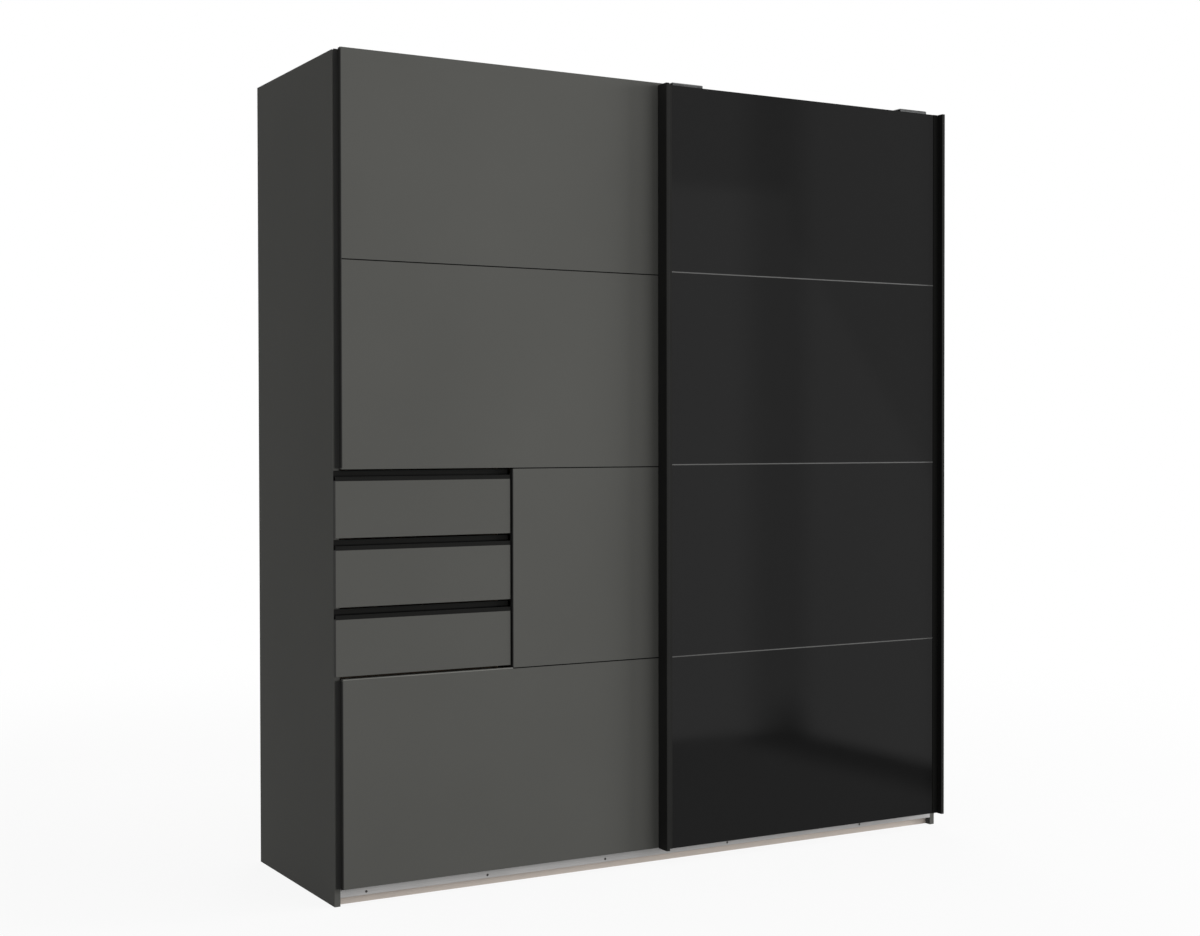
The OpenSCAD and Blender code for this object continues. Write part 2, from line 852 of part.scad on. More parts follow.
// Hook over the rear door: leg on the front door's back, strap, and a drop plate with the axle
module front_carriage(x) {
  drop_y = rib_2_y - wheel_w / 2 - bore_clear - drop_gap - plate_t;
  leg_z = front_top_z - carriage_leg;
  leg_top_z = strap_z - bend_r;
  drop_z = wheel_z - wheel_r;
  slotted_plate(x, backing_y, leg_z, carriage_w, leg_top_z - leg_z, -1);
  along_x(x - carriage_w / 2, x + carriage_w / 2, strap_z + plate_t - fold_h) translate([backing_y, 0])
    bent_channel(drop_y + plate_t - backing_y, fold_h, plate_t, bend_r);
  along_y(drop_y, drop_y + plate_t) translate([x - carriage_w / 2, drop_z])
    rounded(carriage_w, leg_top_z - drop_z, plate_corner_r);
  stub_axle(x, drop_y, rib_2_y);
}

module right_door_carriages() {
  color(silver) at_front() for (x = carriage_xs(front_x)) front_carriage(x);
}

module right_door_wheel(i) {
  color(nylon) at_front() translate([carriage_xs(front_x)[i], rib_2_y, wheel_z]) track_wheel();
}

module right_door_wheel_1() {
  right_door_wheel(0);
}

module right_door_wheel_2() {
  right_door_wheel(1);
}

// The front door's guides reach under the rear door
module right_door_guides() {
  color(black_profile) at_front() for (x = carriage_xs(front_x))
    door_guide(x, backing_y, rail_top_z + gear_clear, groove_1_y);
}

// ---- Drawers ----

// Lower edge of a drawer's front, with number 1 at the top
function drawer_z(n) = notch_top_z - drawer_top_gap - (n - 1) * drawer_pitch - drawer_h;

module drawer_front(n) {
  color(graphite) at_front()
    block([-half_w, front_y0, drawer_z(n)],
      [-half_w + drawer_w, -front_gap, drawer_z(n) + drawer_h - grip_h]);
}

// J-shaped channel along the front's top edge: lip, floor and high back wall
module grip_section() {
  square([front_t, grip_wall]);
  square([grip_wall, grip_lip_h]);
  translate([front_t - grip_wall, 0]) square([grip_wall, grip_h]);
}

module drawer_grip(n) {
  color(black_profile) at_front() translate([0, front_y0, 0])
    along_x(-half_w, -half_w + drawer_w, drawer_z(n) + drawer_h - grip_h) grip_section();
}

module drawer_box(n) {
  z = drawer_z(n) + box_lift;
  y1 = -front_gap + box_d;
  groove = box_t / 2;
  bottom_low = [box_x0 + groove, -front_gap, z + bottom_lift];
  bottom_high = [box_x1 - groove, y1 - groove, z + bottom_lift + bottom_t];
  slack = [groove_slack, groove_slack, groove_slack];
  color(beige) at_front() {
    difference() {
      union() {
        block([box_x0, -front_gap, z], [box_x0 + box_t, y1, z + box_h]);
        block([box_x1 - box_t, -front_gap, z], [box_x1, y1, z + box_h]);
        block([box_x0, y1 - box_t, z], [box_x1, y1, z + box_h]);
      }
      block(bottom_low - slack, bottom_high + slack);
    }
    block(bottom_low, bottom_high);
  }
}

// Height of the runner's middle, and of the rollers inside it
function runner_z(n) = drawer_z(n) + box_lift + runner_lift;
function roller_z(n) = runner_z(n) - runner_h / 2 + runner_t + roll_gap + roller_r;
runner_y0 = inner_setback + runner_inset;
runner_len = box_d - runner_short;
front_roller_y = runner_y0 + roller_r + roller_end_gap;
rear_roller_y = -front_gap + box_d - tab_len / 2;
runner_reach = runner_gap - lip_gap;

// Places each side's piece: the left one as drawn from the board's face, the right one mirrored
module both_sides() {
  translate([-inner_x, 0, 0]) children();
  translate([partition_x0, 0, 0]) mirror([1, 0, 0]) children();
}

// C-shaped steel channel on the board, with the front roller's axle
module cabinet_runner(n) {
  along_y(runner_y0, runner_y0 + runner_len) translate([runner_reach, runner_z(n) - runner_h / 2])
    rotate(90) bent_channel(runner_h, runner_reach, runner_t, runner_bend_r);
  rod_x([0, front_roller_y, roller_z(n)], roller_axle_d, runner_reach);
}

module cabinet_runners() {
  color(white_steel) at_front() for (n = [1:drawer_count]) both_sides() cabinet_runner(n);
}

roller_x = runner_t + roller_side_gap;

module roller_pair(n, y) {
  bore_r = roller_axle_d / 2 + bore_clear;
  both_sides() translate([roller_x, y, roller_z(n)]) rotate([0, 90, 0]) difference() {
    cylinder(r = roller_r, h = roller_w);
    translate([0, 0, -cut]) cylinder(r = bore_r, h = roller_w + 2 * cut);
  }
}

module drawer_front_rollers(n) {
  color(nylon) at_front() roller_pair(n, front_roller_y);
}

module drawer_rear_rollers(n) {
  color(nylon) at_front() roller_pair(n, rear_roller_y);
}

// Steel angle on the drawer side: its flange rolls on the front roller, and a tab at its rear end
// carries the rear roller
module drawer_runner(n) {
  flange_z = roller_z(n) + roller_r + roll_gap;
  tab_z = roller_z(n) - roller_axle_d;
  y1 = -front_gap + box_d;
  along_y(0, y1) translate([runner_gap, flange_z]) mirror([1, 0])
    bent_angle(runner_gap - roller_x, web_h, runner_t, runner_bend_r);
  along_x(runner_gap - runner_t, runner_gap, tab_z) translate([y1 - tab_len, 0])
    rounded(tab_len, flange_z + web_h - tab_z, roller_axle_d);
  rod_x([roller_x, rear_roller_y, roller_z(n)], roller_axle_d, runner_gap - roller_x);
}

module drawer_runners(n) {
  color(white_steel) at_front() both_sides() drawer_runner(n);
}

module drawer_1_front() {
  drawer_front(1);
}

module drawer_1_grip() {
  drawer_grip(1);
}

module drawer_1_box() {
  drawer_box(1);
}

module drawer_1_runners() {
  drawer_runners(1);
}

module drawer_1_front_rollers() {
  drawer_front_rollers(1);
}

module drawer_1_rear_rollers() {
  drawer_rear_rollers(1);
}

module drawer_2_front() {
  drawer_front(2);
}

module drawer_2_grip() {
  drawer_grip(2);
}

module drawer_2_box() {
  drawer_box(2);
}

module drawer_2_runners() {
  drawer_runners(2);
}

module drawer_2_front_rollers() {
  drawer_front_rollers(2);
}

module drawer_2_rear_rollers() {
  drawer_rear_rollers(2);
}

module drawer_3_front() {
  drawer_front(3);
}

module drawer_3_grip() {
  drawer_grip(3);
}

module drawer_3_box() {
  drawer_box(3);
}

module drawer_3_runners() {
  drawer_runners(3);
}

module drawer_3_front_rollers() {
  drawer_front_rollers(3);
}

module drawer_3_rear_rollers() {
  drawer_rear_rollers(3);
}

side_panel_left();
side_panel_right();
centre_partition();
top_panel();
bottom_panel();
plinth_boards();
back_panel_left();
back_panel_right();
drawer_partition();
middle_board();
drawer_unit_floor();
hat_shelves();
clothes_rails();
clothes_rail_sockets();
shelf_pins();
top_track();
track_end_stops();
bottom_guide_rail();
guide_rail_screws();
cabinet_runners();
left_door_panel_1();
left_door_panel_2();
left_door_panel_3();
left_door_panel_4();
left_door_edge_profiles();
left_door_joint_strips();
left_door_carriages();
left_door_guides();
left_door_wheel_1();
left_door_wheel_2();
right_door_pane_1();
right_door_pane_2();
right_door_pane_3();
right_door_pane_4();
right_door_backing();
right_door_handle_left();
right_door_handle_right();
right_door_joint_strips();
right_door_carriages();
right_door_guides();
right_door_wheel_1();
right_door_wheel_2();
drawer_1_front();
drawer_1_grip();
drawer_1_box();
drawer_1_runners();
drawer_1_front_rollers();
drawer_1_rear_rollers();
drawer_2_front();
drawer_2_grip();
drawer_2_box();
drawer_2_runners();
drawer_2_front_rollers();
drawer_2_rear_rollers();
drawer_3_front();
drawer_3_grip();
drawer_3_box();
drawer_3_runners();
drawer_3_front_rollers();
drawer_3_rear_rollers();
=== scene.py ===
"""Looks of the sliding door wardrobe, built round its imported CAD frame.

Everything is in metres in the frame's own axes: +X to the right, +Y to the back, +Z up.
"""

import logging
import math
from collections.abc import Iterable, Sequence
from dataclasses import KW_ONLY, dataclass
from enum import Enum
from functools import cache

import bmesh
import bpy
from mathutils import Euler, Matrix, Vector


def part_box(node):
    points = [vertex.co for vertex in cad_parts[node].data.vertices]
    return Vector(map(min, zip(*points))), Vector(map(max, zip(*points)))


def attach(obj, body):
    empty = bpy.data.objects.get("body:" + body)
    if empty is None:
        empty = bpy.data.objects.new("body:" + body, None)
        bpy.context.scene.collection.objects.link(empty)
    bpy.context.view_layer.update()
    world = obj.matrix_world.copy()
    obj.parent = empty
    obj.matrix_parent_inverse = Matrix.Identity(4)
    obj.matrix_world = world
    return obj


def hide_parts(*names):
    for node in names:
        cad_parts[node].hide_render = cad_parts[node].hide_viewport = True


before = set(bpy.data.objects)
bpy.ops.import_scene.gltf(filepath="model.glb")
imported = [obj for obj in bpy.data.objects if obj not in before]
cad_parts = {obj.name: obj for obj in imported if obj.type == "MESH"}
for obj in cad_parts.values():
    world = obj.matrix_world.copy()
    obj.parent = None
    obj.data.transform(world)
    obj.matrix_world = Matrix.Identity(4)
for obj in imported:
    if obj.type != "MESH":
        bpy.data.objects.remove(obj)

MM = 0.001
SHARP_ANGLE = math.radians(32.0)  # a piece's faces that turn by more than this meet in a sharp edge
SOFT_ANGLE = math.radians(40.0)  # a CAD node's edges that turn by more than this are softened
FACE_SHARE = 0.7  # least part of a normal along a board's thickness, on the board's faces
NOISE_SPAN = (0.3, 0.7)  # where nearly all values of a noise texture lie
MIX_FIRST, MIX_SECOND, MIX_RESULT = 6, 7, 2  # a Mix node's inputs and output for colours

log = logging.getLogger("wardrobe")

Colour = tuple[float, float, float]
Point = tuple[float, float, float]
Range = tuple[float, float]
Outline = Sequence[tuple[float, float]]
Material = bpy.types.Material
Socket = bpy.types.NodeSocket
Mesh = bmesh.types.BMesh
Loop = list[bmesh.types.BMVert]


class Axis(Enum):
    """One of the frame's axes, by its place in a vector."""

    X = 0
    Y = 1
    Z = 2

    def unit(self, sign: float = 1.0) -> Vector:
        """Gives the unit vector along the axis, or against it for a sign of -1."""
        return Vector([sign if axis is self else 0.0 for axis in Axis])


class Pattern(Enum):
    """Surface pattern of a decor board."""

    PLAIN = "plain"
    LINEN = "linen"


class Edge(Enum):
    """How a CAD node's edges are softened: the width and the steps of the bevel."""

    DRAWN = (0.15 * MM, 1)
    ROLLED = (0.2 * MM, 1)
    THIN = (0.2 * MM, 2)
    PROFILE = (0.25 * MM, 2)
    FITTING = (0.3 * MM, 2)
    FRONT = (0.35 * MM, 2)
    BOARD = (0.4 * MM, 2)
    HANDLE = (0.4 * MM, 3)
    RUBBER = (0.6 * MM, 3)
    GLASS = (0.7 * MM, 2)


def linear(level: float) -> float:
    """Turns an 8-bit display level into linear light from 0 to 1."""
    share = level / 255.0
    return share / 12.92 if share <= 0.04045 else ((share + 0.055) / 1.055) ** 2.4


def tone(colour: Colour, share: float = 1.0) -> tuple[float, ...]:
    """Gives a node colour from 8-bit display levels, times a share."""
    return (*(linear(level * share) for level in colour), 1.0)


def drawn_out(fine: float, run: Axis, coarse: float) -> Point:
    """Gives a noise scale that is coarse along one axis and fine along the others."""
    return tuple(coarse if axis is run else fine for axis in Axis)


def in_mm(*points: tuple[float, float]) -> Outline:
    """Turns points given in millimetres into metres."""
    return tuple((across * MM, along * MM) for across, along in points)


class NodeGraph:
    """A tree of shader nodes, with short calls that add and join them."""

    def __init__(self, tree: bpy.types.NodeTree) -> None:
        """Keeps the tree."""
        self.tree = tree

    def put(self, value: object, target: Socket) -> None:
        """Joins a socket to an input, or sets the input to a number or colour.

        Args:
            value: The socket, number or colour.
            target: The input.
        """
        if isinstance(value, Socket):
            self.tree.links.new(value, target)
        else:
            target.default_value = value

    def add(self, kind: str, inputs: dict[str | int, object], **settings: object) -> bpy.types.Node:
        """Adds a node.

        Args:
            kind: Blender's name of the node type.
            inputs: Sockets or values for its inputs, by their name or place.
            **settings: Properties to set on the node.

        Returns:
            The new node.
        """
        node = self.tree.nodes.new(kind)
        for key, value in settings.items():
            setattr(node, key, value)
        for key, value in inputs.items():
            self.put(value, node.inputs[key])
        return node

    def math(self, operation: str, first: object, second: object = 0.0) -> Socket:
        """Adds a Math node whose inputs are sockets or numbers."""
        return self.add("ShaderNodeMath", {0: first, 1: second}, operation=operation).outputs[0]

    def mixed(self, factor: Socket, first: object, second: object) -> Socket:
        """Blends two colours, given as sockets or values, by a factor."""
        inputs = {"Factor": factor, MIX_FIRST: first, MIX_SECOND: second}
        return self.add("ShaderNodeMix", inputs, data_type="RGBA").outputs[MIX_RESULT]

    def ramp(self, value: Socket, source: Range, result: Range, kind: str = "SMOOTHSTEP") -> Socket:
        """Maps a value from one range to another, and keeps it within that."""
        ends = zip(("From Min", "From Max", "To Min", "To Max"), (*source, *result))
        return self.add("ShaderNodeMapRange", dict(ends, Value=value), interpolation_type=kind).outputs[0]

    def seen(self) -> Socket:
        """Gives 1 for rays from the camera and those seen in gloss or through glass.

        Returns:
            The output of the last node.
        """
        rays = self.add("ShaderNodeLightPath", {}).outputs
        seen = rays["Is Camera Ray"]
        for kind in ("Is Glossy Ray", "Is Transmission Ray"):
            seen = self.math("MAXIMUM", seen, rays[kind])
        return seen


class MaterialGraph(NodeGraph):
    """A new material's nodes."""

    def __init__(self, name: str) -> None:
        """Makes the material and keeps its shader.

        Args:
            name: Name of the material.
        """
        self.material = bpy.data.materials.new(name)
        self.material.use_nodes = True
        super().__init__(self.material.node_tree)
        self.shader = self.tree.nodes["Principled BSDF"]
        self.place = self.add("ShaderNodeTexCoord", {}).outputs["Object"]

    def feed(self, **values: object) -> None:
        """Joins or sets the shader's inputs, named with underscores for spaces."""
        for key, value in values.items():
            self.put(value, self.shader.inputs[key.replace("_", " ")])

    def show(self, surface: Socket) -> None:
        """Makes another shader the material's surface, which doesn't count as a lamp."""
        self.put(surface, self.tree.nodes["Material Output"].inputs["Surface"])
        self.material.cycles.emission_sampling = "NONE"

    def texture(self, kind: str, scale: float | Point, **inputs: float) -> bpy.types.Node:
        """Adds a texture.

        Args:
            kind: Blender's name of the texture's node type.
            scale: Cells per metre, the same along all axes or one for each.
            **inputs: Values for the texture's other inputs.

        Returns:
            The texture's node.
        """
        scales = (scale,) * len(Axis) if isinstance(scale, float) else scale
        mapping = self.add("ShaderNodeMapping", {"Vector": self.place, "Scale": scales})
        return self.add(kind, {"Vector": mapping.outputs["Vector"], "Scale": 1.0, **inputs})

    def noise(self, scale: float | Point, detail: float = 2.0) -> Socket:
        """Adds a noise texture, whose values are about 0.5 on average."""
        return self.texture("ShaderNodeTexNoise", scale, Detail=detail).outputs["Fac"]

    def spread(self, noise: Socket, low: float = 0.0, high: float = 1.0) -> Socket:
        """Maps a noise value to the range from low to high."""
        return self.ramp(noise, NOISE_SPAN, (low, high), "LINEAR")

    def parted(self, vector: Socket) -> Sequence[Socket]:
        """Gives the outputs of a vector's three parts."""
        return self.add("ShaderNodeSeparateXYZ", {0: vector}).outputs

    def edge_mask(self, thin: Axis) -> Socket:
        """Gives 1 on the narrow edges of a board that is thin along an axis, and 0 on its faces."""
        normal = self.parted(self.add("ShaderNodeNewGeometry", {}).outputs["Normal"])
        return self.math("LESS_THAN", self.math("ABSOLUTE", normal[thin.value]), FACE_SHARE)


@dataclass(frozen=True)
class Form:
    """Corners and faces of a small solid, ready to be set in many places."""

    corners: tuple[Vector, ...]
    faces: tuple[tuple[int, ...], ...]

    @classmethod
    def taken(cls, mesh: Mesh) -> "Form":
        """Keeps a closed mesh's corners and faces, facing outwards, and frees it.

        Args:
            mesh: The mesh.

        Returns:
            The new form.
        """
        bmesh.ops.recalc_face_normals(mesh, faces=mesh.faces)
        mesh.verts.index_update()
        corners = tuple(vertex.co.copy() for vertex in mesh.verts)
        faces = tuple(tuple(vertex.index for vertex in face.verts) for face in mesh.faces)
        mesh.free()
        return cls(corners, faces)


def add_loop(mesh: Mesh, outline: Outline, height: float) -> Loop:
    """Adds a closed outline's corners at a height."""
    return [mesh.verts.new((across, along, height)) for across, along in outline]


def skin(mesh: Mesh, lower: Loop, upper: Loop) -> None:
    """Joins two loops of as many corners with a band of faces."""
    for place in range(len(lower)):
        mesh.faces.new((lower[place - 1], lower[place], upper[place], upper[place - 1]))


@dataclass(frozen=True)
class Turned:
    """A solid turned round its axis, such as a nail head."""

    profile: Outline
    segments: int = 20

    def form(self) -> Form:
        """Makes the solid from its profile of radius and height.

        Returns:
            The solid, along Z from the origin.
        """
        mesh = bmesh.new()
        turns = [2.0 * math.pi * step / self.segments for step in range(self.segments)]
        circle = [(math.cos(turn), math.sin(turn)) for turn in turns]
        rings = [add_loop(mesh, [(radius * x, radius * y) for x, y in circle], height)
                 for radius, height in self.profile]
        for lower, upper in zip(rings, rings[1:]):
            skin(mesh, lower, upper)
        self.close(mesh, rings)
        return Form.taken(mesh)

    def close(self, mesh: Mesh, rings: list[Loop]) -> None:
        """Closes both ends with flat faces."""
        mesh.faces.new(rings[0])
        mesh.faces.new(rings[-1])


@dataclass(frozen=True)
class Washer(Turned):
    """A flat ring, whose profile goes all the way round its section."""

    segments: int = 28

    def close(self, mesh: Mesh, rings: list[Loop]) -> None:
        """Closes the hole's wall."""
        skin(mesh, rings[-1], rings[0])


@dataclass(frozen=True)
class CrossHead(Turned):
    """A turned screw or fitting head with a cross-shaped recess of a reach, an arm width and a depth."""

    segments: int = 28
    recess: Point = (2.0 * MM, 0.9 * MM, 1.2 * MM)
    taper: float = 0.62

    def cross(self, share: float) -> Outline:
        """Gives the outline of the cross.

        Args:
            share: Its size, as a share of the recess's mouth.

        Returns:
            The outline's corners.
        """
        reach, half = self.recess[0] * share, self.recess[1] / 2.0 * share
        arm = ((reach, -half), (reach, half), (half, half))
        quarters = ((1, 0), (0, 1), (-1, 0), (0, -1))
        return [(x * cosine - y * sine, x * sine + y * cosine) for cosine, sine in quarters for x, y in arm]

    def close(self, mesh: Mesh, rings: list[Loop]) -> None:
        """Closes the lower end with a flat face and the upper one round the recess.

        Args:
            mesh: The head's mesh.
            rings: The rings of its corners.
        """
        mesh.faces.new(rings[0])
        top = self.profile[-1][1]
        mouth = add_loop(mesh, self.cross(1.0), top)
        edges = [mesh.edges.get((loop[i - 1], loop[i])) or mesh.edges.new((loop[i - 1], loop[i]))
                 for loop in (rings[-1], mouth) for i in range(len(loop))]
        bmesh.ops.triangle_fill(mesh, use_beauty=True, edges=edges)
        floor = add_loop(mesh, self.cross(self.taper), top - self.recess[2])
        skin(mesh, mouth, floor)
        mesh.faces.new(floor)


@dataclass(frozen=True)
class Bar:
    """A straight bar of one outline, with the sharp edges of its ends taken off."""

    outline: Outline
    length: float
    soften: float
    steps: int = 2

    def form(self) -> Form:
        """Makes the bar.

        Returns:
            The bar, along Z from the origin.
        """
        mesh = bmesh.new()
        low, high = (add_loop(mesh, self.outline, height) for height in (0.0, self.length))
        skin(mesh, low, high)
        ends = [mesh.faces.new(low), mesh.faces.new(high)]
        edges = list({edge for face in ends for edge in face.edges})
        bmesh.ops.bevel(mesh, geom=edges, offset=self.soften, segments=self.steps, affect="EDGES",
                        clamp_overlap=True)
        return Form.taken(mesh)


def seated(seat: Sequence[float], facing: Vector, turn: float = 0.0) -> Matrix:
    """Gives the place of a form on a face that looks along a direction, turned about that."""
    lean = Axis.Z.unit().rotation_difference(facing).to_matrix().to_4x4()
    return Matrix.Translation(Vector(seat)) @ lean @ Matrix.Rotation(turn, 4, "Z")


def middles(node: str, axis: Axis, gap: float = 0.15) -> list[float]:
    """Finds the middles of a CAD node's separate solids along an axis.

    Args:
        node: Name of the CAD node.
        axis: The axis to look along.
        gap: Smallest space between two solids, in metres.

    Returns:
        The middle of each solid.
    """
    places = sorted(vertex.co[axis.value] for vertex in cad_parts[node].data.vertices)
    solids = [[places[0], places[0]]]
    for place in places:
        if place - solids[-1][1] > gap:
            solids.append([place, place])
        solids[-1][1] = place
    return [(low + high) / 2.0 for low, high in solids]


def linked(name: str, data: bpy.types.ID) -> bpy.types.Object:
    """Makes an object of a mesh, light or camera, and links it to the scene.

    Args:
        name: Name of the object.
        data: Its mesh, light or camera.

    Returns:
        The new object.
    """
    item = bpy.data.objects.new(name, data)
    bpy.context.scene.collection.objects.link(item)
    return item


def surface(name: str, corners: Sequence, material: Material,
            faces: Sequence = ((0, 1, 2, 3),)) -> bpy.types.Object:
    """Makes an object from corners and faces.

    Args:
        name: Name of the object.
        corners: Its corners.
        material: Its material.
        faces: The places of each face's corners among them; one face of four if left out.

    Returns:
        The new object.
    """
    mesh = bpy.data.meshes.new(name)
    mesh.from_pydata(corners, [], faces)
    mesh.materials.append(material)
    return linked(name, mesh)


def fit(name: str, body: str, material: Material,
        parts: Iterable[tuple[Form, Matrix]]) -> bpy.types.Object:
    """Makes one piece out of forms set in their places, and lets it ride on a body.

    Args:
        name: Name of the piece.
        body: The CAD body that it moves with.
        material: Its material.
        parts: Each form with its place.

    Returns:
        The new object.
    """
    corners: list[Vector] = []
    faces: list[tuple[int, ...]] = []
    for form, place in parts:
        start = len(corners)
        corners += [place @ corner for corner in form.corners]
        faces += [tuple(start + index for index in face) for face in form.faces]
    piece = surface(name, corners, material, faces)
    piece.data.shade_smooth()
    piece.data.set_sharp_from_angle(angle=SHARP_ANGLE)
    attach(piece, body)
    log.info("built %s on %s, %d faces", name, body, len(faces))
    return piece


def dress(material: Material, edge: Edge, *nodes: str) -> None:
    """Puts a material on CAD nodes, and a small bevel on their edges.

    Args:
        material: The material of the whole of each node.
        edge: How the edges are softened.
        *nodes: Names of the CAD nodes.
    """
    for node in nodes:
        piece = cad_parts[node]
        piece.data.materials.clear()
        piece.data.materials.append(material)
        bevel = piece.modifiers.new("soft_edges", "BEVEL")
        bevel.width, bevel.segments = edge.value
        bevel.limit_method = "ANGLE"
        bevel.angle_limit = SOFT_ANGLE
        log.info("dressed %s", node)


@dataclass(frozen=True)
class Finish:
    """A surface whose tone and roughness are a little uneven, with a fine relief."""

    name: str
    colour: Colour
    roughness: float
    _: KW_ONLY
    gloss: float = 0.5
    metallic: float = 0.0
    tones: Range
    change: Range = (-0.05, 0.05)
    relief: float = 0.02 * MM
    relief_share: float = 0.5

    def face(self, graph: MaterialGraph, factor: Socket) -> Socket:
        """Blends the darker and the lighter tone of the colour by a factor."""
        return graph.mixed(factor, *(tone(self.colour, share) for share in self.tones))

    def rough(self, graph: MaterialGraph, noise: Socket) -> Socket:
        """Lets the roughness change with a noise value."""
        return graph.spread(noise, *(self.roughness + change for change in self.change))

    def made(self, graph: MaterialGraph, face: Socket, rough: Socket, height: Socket) -> Material:
        """Feeds the shader.

        Args:
            graph: The material's nodes.
            face: The colour's output.
            rough: The roughness's output.
            height: The output of the relief's height, from 0 to 1.

        Returns:
            The new material.
        """
        graph.feed(Base_Color=face, Roughness=rough, Metallic=self.metallic, Specular_IOR_Level=self.gloss)
        inputs = {"Distance": self.relief, "Strength": self.relief_share, "Height": height}
        graph.feed(Normal=graph.add("ShaderNodeBump", inputs).outputs["Normal"])
        return graph.material


@dataclass(frozen=True)
class BoardFinish(Finish):
    """Melamine-faced board with banded edges, plain or with a linen print's crossed threads."""

    edge_colour: Colour
    _: KW_ONLY
    pattern: Pattern = Pattern.PLAIN
    gloss: float = 0.3
    tones: Range = (0.982, 1.018)
    relief: float = 0.05 * MM
    relief_share: float = 0.6
    cloud: float = 1.6
    grain: float = 950.0
    edge_polish: float = 0.08
    thread_tone: float = 0.82
    thread_share: float = 0.34
    thread_fine: float = 1300.0
    thread_run: float = 60.0

    @cache
    def material(self, thin: Axis) -> Material:
        """Makes the material for boards that are thin along an axis.

        Args:
            thin: Axis along the board's thickness.

        Returns:
            The material.
        """
        graph = MaterialGraph(f"{self.name}_{thin.name.lower()}")
        face = self.face(graph, graph.spread(graph.noise(self.cloud, 3.0)))
        grain = height = graph.noise(self.grain)
        if self.pattern is Pattern.LINEN:
            threads = (graph.noise(drawn_out(self.thread_fine, run, self.thread_run), 1.0)
                       for run in Axis if run is not thin)
            weave = graph.spread(graph.math("MAXIMUM", *threads))
            share = graph.math("MULTIPLY", weave, self.thread_share)
            face = graph.mixed(share, face, tone(self.colour, self.thread_tone))
            height = graph.math("ADD", grain, weave)
        edge = graph.edge_mask(thin)
        polish = graph.math("MULTIPLY", edge, self.edge_polish)
        rough = graph.math("SUBTRACT", self.rough(graph, grain), polish)
        return self.made(graph, graph.mixed(edge, face, tone(self.edge_colour)), rough, height)


@dataclass(frozen=True)
class ShadeZone:
    """A part of a profile given a darker tone as painted shade, inside a box with soft sides."""

    name: str
    low: Point
    high: Point
    colour: Colour
    soft: float = 0.1 * MM

    def mask(self, graph: MaterialGraph) -> Socket:
        """Gives 1 inside the box and 0 outside.

        Args:
            graph: The profile material's nodes.

        Returns:
            The mask's output.
        """
        inside: object = 1.0
        for place, low, high in zip(graph.parted(graph.place), self.low, self.high):
            for edge, full in ((low, low + self.soft), (high, high - self.soft)):
                inside = graph.math("MULTIPLY", graph.ramp(place, (edge, full), (0.0, 1.0)), inside)
        return inside


@dataclass(frozen=True)
class MetalFinish(Finish):
    """Drawn or rolled metal with fine lines along its length."""

    run: Axis
    _: KW_ONLY
    tones: Range = (0.94, 1.05)
    change: Range = (-0.05, 0.07)
    fine: float = 1100.0
    coarse: float = 4.0
    cloud: float = 9.0

    @cache
    def material(self, zone: ShadeZone | None = None) -> Material:
        """Makes the material.

        Args:
            zone: Part of the profile with painted shade, or None for none.

        Returns:
            The material.
        """
        graph = MaterialGraph(f"{self.name}_{zone.name}" if zone else self.name)
        lines = graph.noise(drawn_out(self.fine, self.run, self.coarse))
        average = graph.math("MULTIPLY", graph.math("ADD", lines, graph.noise(self.cloud)), 0.5)
        face = self.face(graph, graph.spread(average))
        # Painted shade: the zone's darker tone stands in for the shade in the profile's hollow.
        if zone:
            face = graph.mixed(zone.mask(graph), face, tone(zone.colour))
        return self.made(graph, face, self.rough(graph, lines), lines)


@dataclass(frozen=True)
class ZincFinish(Finish):
    """Bright zinc plating with faint flowers in it."""

    _: KW_ONLY
    metallic: float = 1.0
    tones: Range = (0.9, 1.0)
    change: Range = (-0.08, 0.12)
    flowers: float = 240.0
    smear: float = 60.0
    grain: float = 500.0

    @cache
    def material(self) -> Material:
        """Makes the material.

        Returns:
            The material.
        """
        graph = MaterialGraph(self.name)
        cells = graph.texture("ShaderNodeTexVoronoi", self.flowers)
        red = graph.add("ShaderNodeSeparateColor", {0: cells.outputs["Color"]}).outputs[0]
        rough = self.rough(graph, graph.noise(self.smear, 3.0))
        return self.made(graph, self.face(graph, red), rough, graph.noise(self.grain))


@dataclass(frozen=True)
class MouldedFinish(Finish):
    """Moulded plastic or rubber, or a powder coat, with an even fine texture."""

    _: KW_ONLY
    grain: float = 900.0
    tones: Range = (0.95, 1.04)
    change: Range = (-0.06, 0.06)
    relief_share: float = 0.7
    cloud: float = 25.0

    @cache
    def material(self) -> Material:
        """Makes the material.

        Returns:
            The material.
        """
        graph = MaterialGraph(self.name)
        grain = graph.noise(self.grain)
        face = self.face(graph, graph.spread(graph.noise(self.cloud)))
        return self.made(graph, face, self.rough(graph, grain), grain)


@dataclass(frozen=True)
class GlassFinish(Finish):
    """Back-painted glass: a dark paint under a smooth, very slightly wavy face."""

    edge_colour: Colour
    _: KW_ONLY
    tones: Range = (0.97, 1.03)
    change: Range = (-0.015, 0.02)
    relief: float = 0.4 * MM
    relief_share: float = 0.1
    cloud: float = 2.0
    film: float = 7.0
    waves: float = 3.0

    @cache
    def material(self, thin: Axis) -> Material:
        """Makes the material for panes that are thin along an axis.

        Args:
            thin: Axis along the pane's thickness.

        Returns:
            The material.
        """
        graph = MaterialGraph(self.name)
        face = self.face(graph, graph.spread(graph.noise(self.cloud)))
        face = graph.mixed(graph.edge_mask(thin), face, tone(self.edge_colour))
        rough = self.rough(graph, graph.noise(self.film, 4.0))
        return self.made(graph, face, rough, graph.noise(self.waves, 1.0))


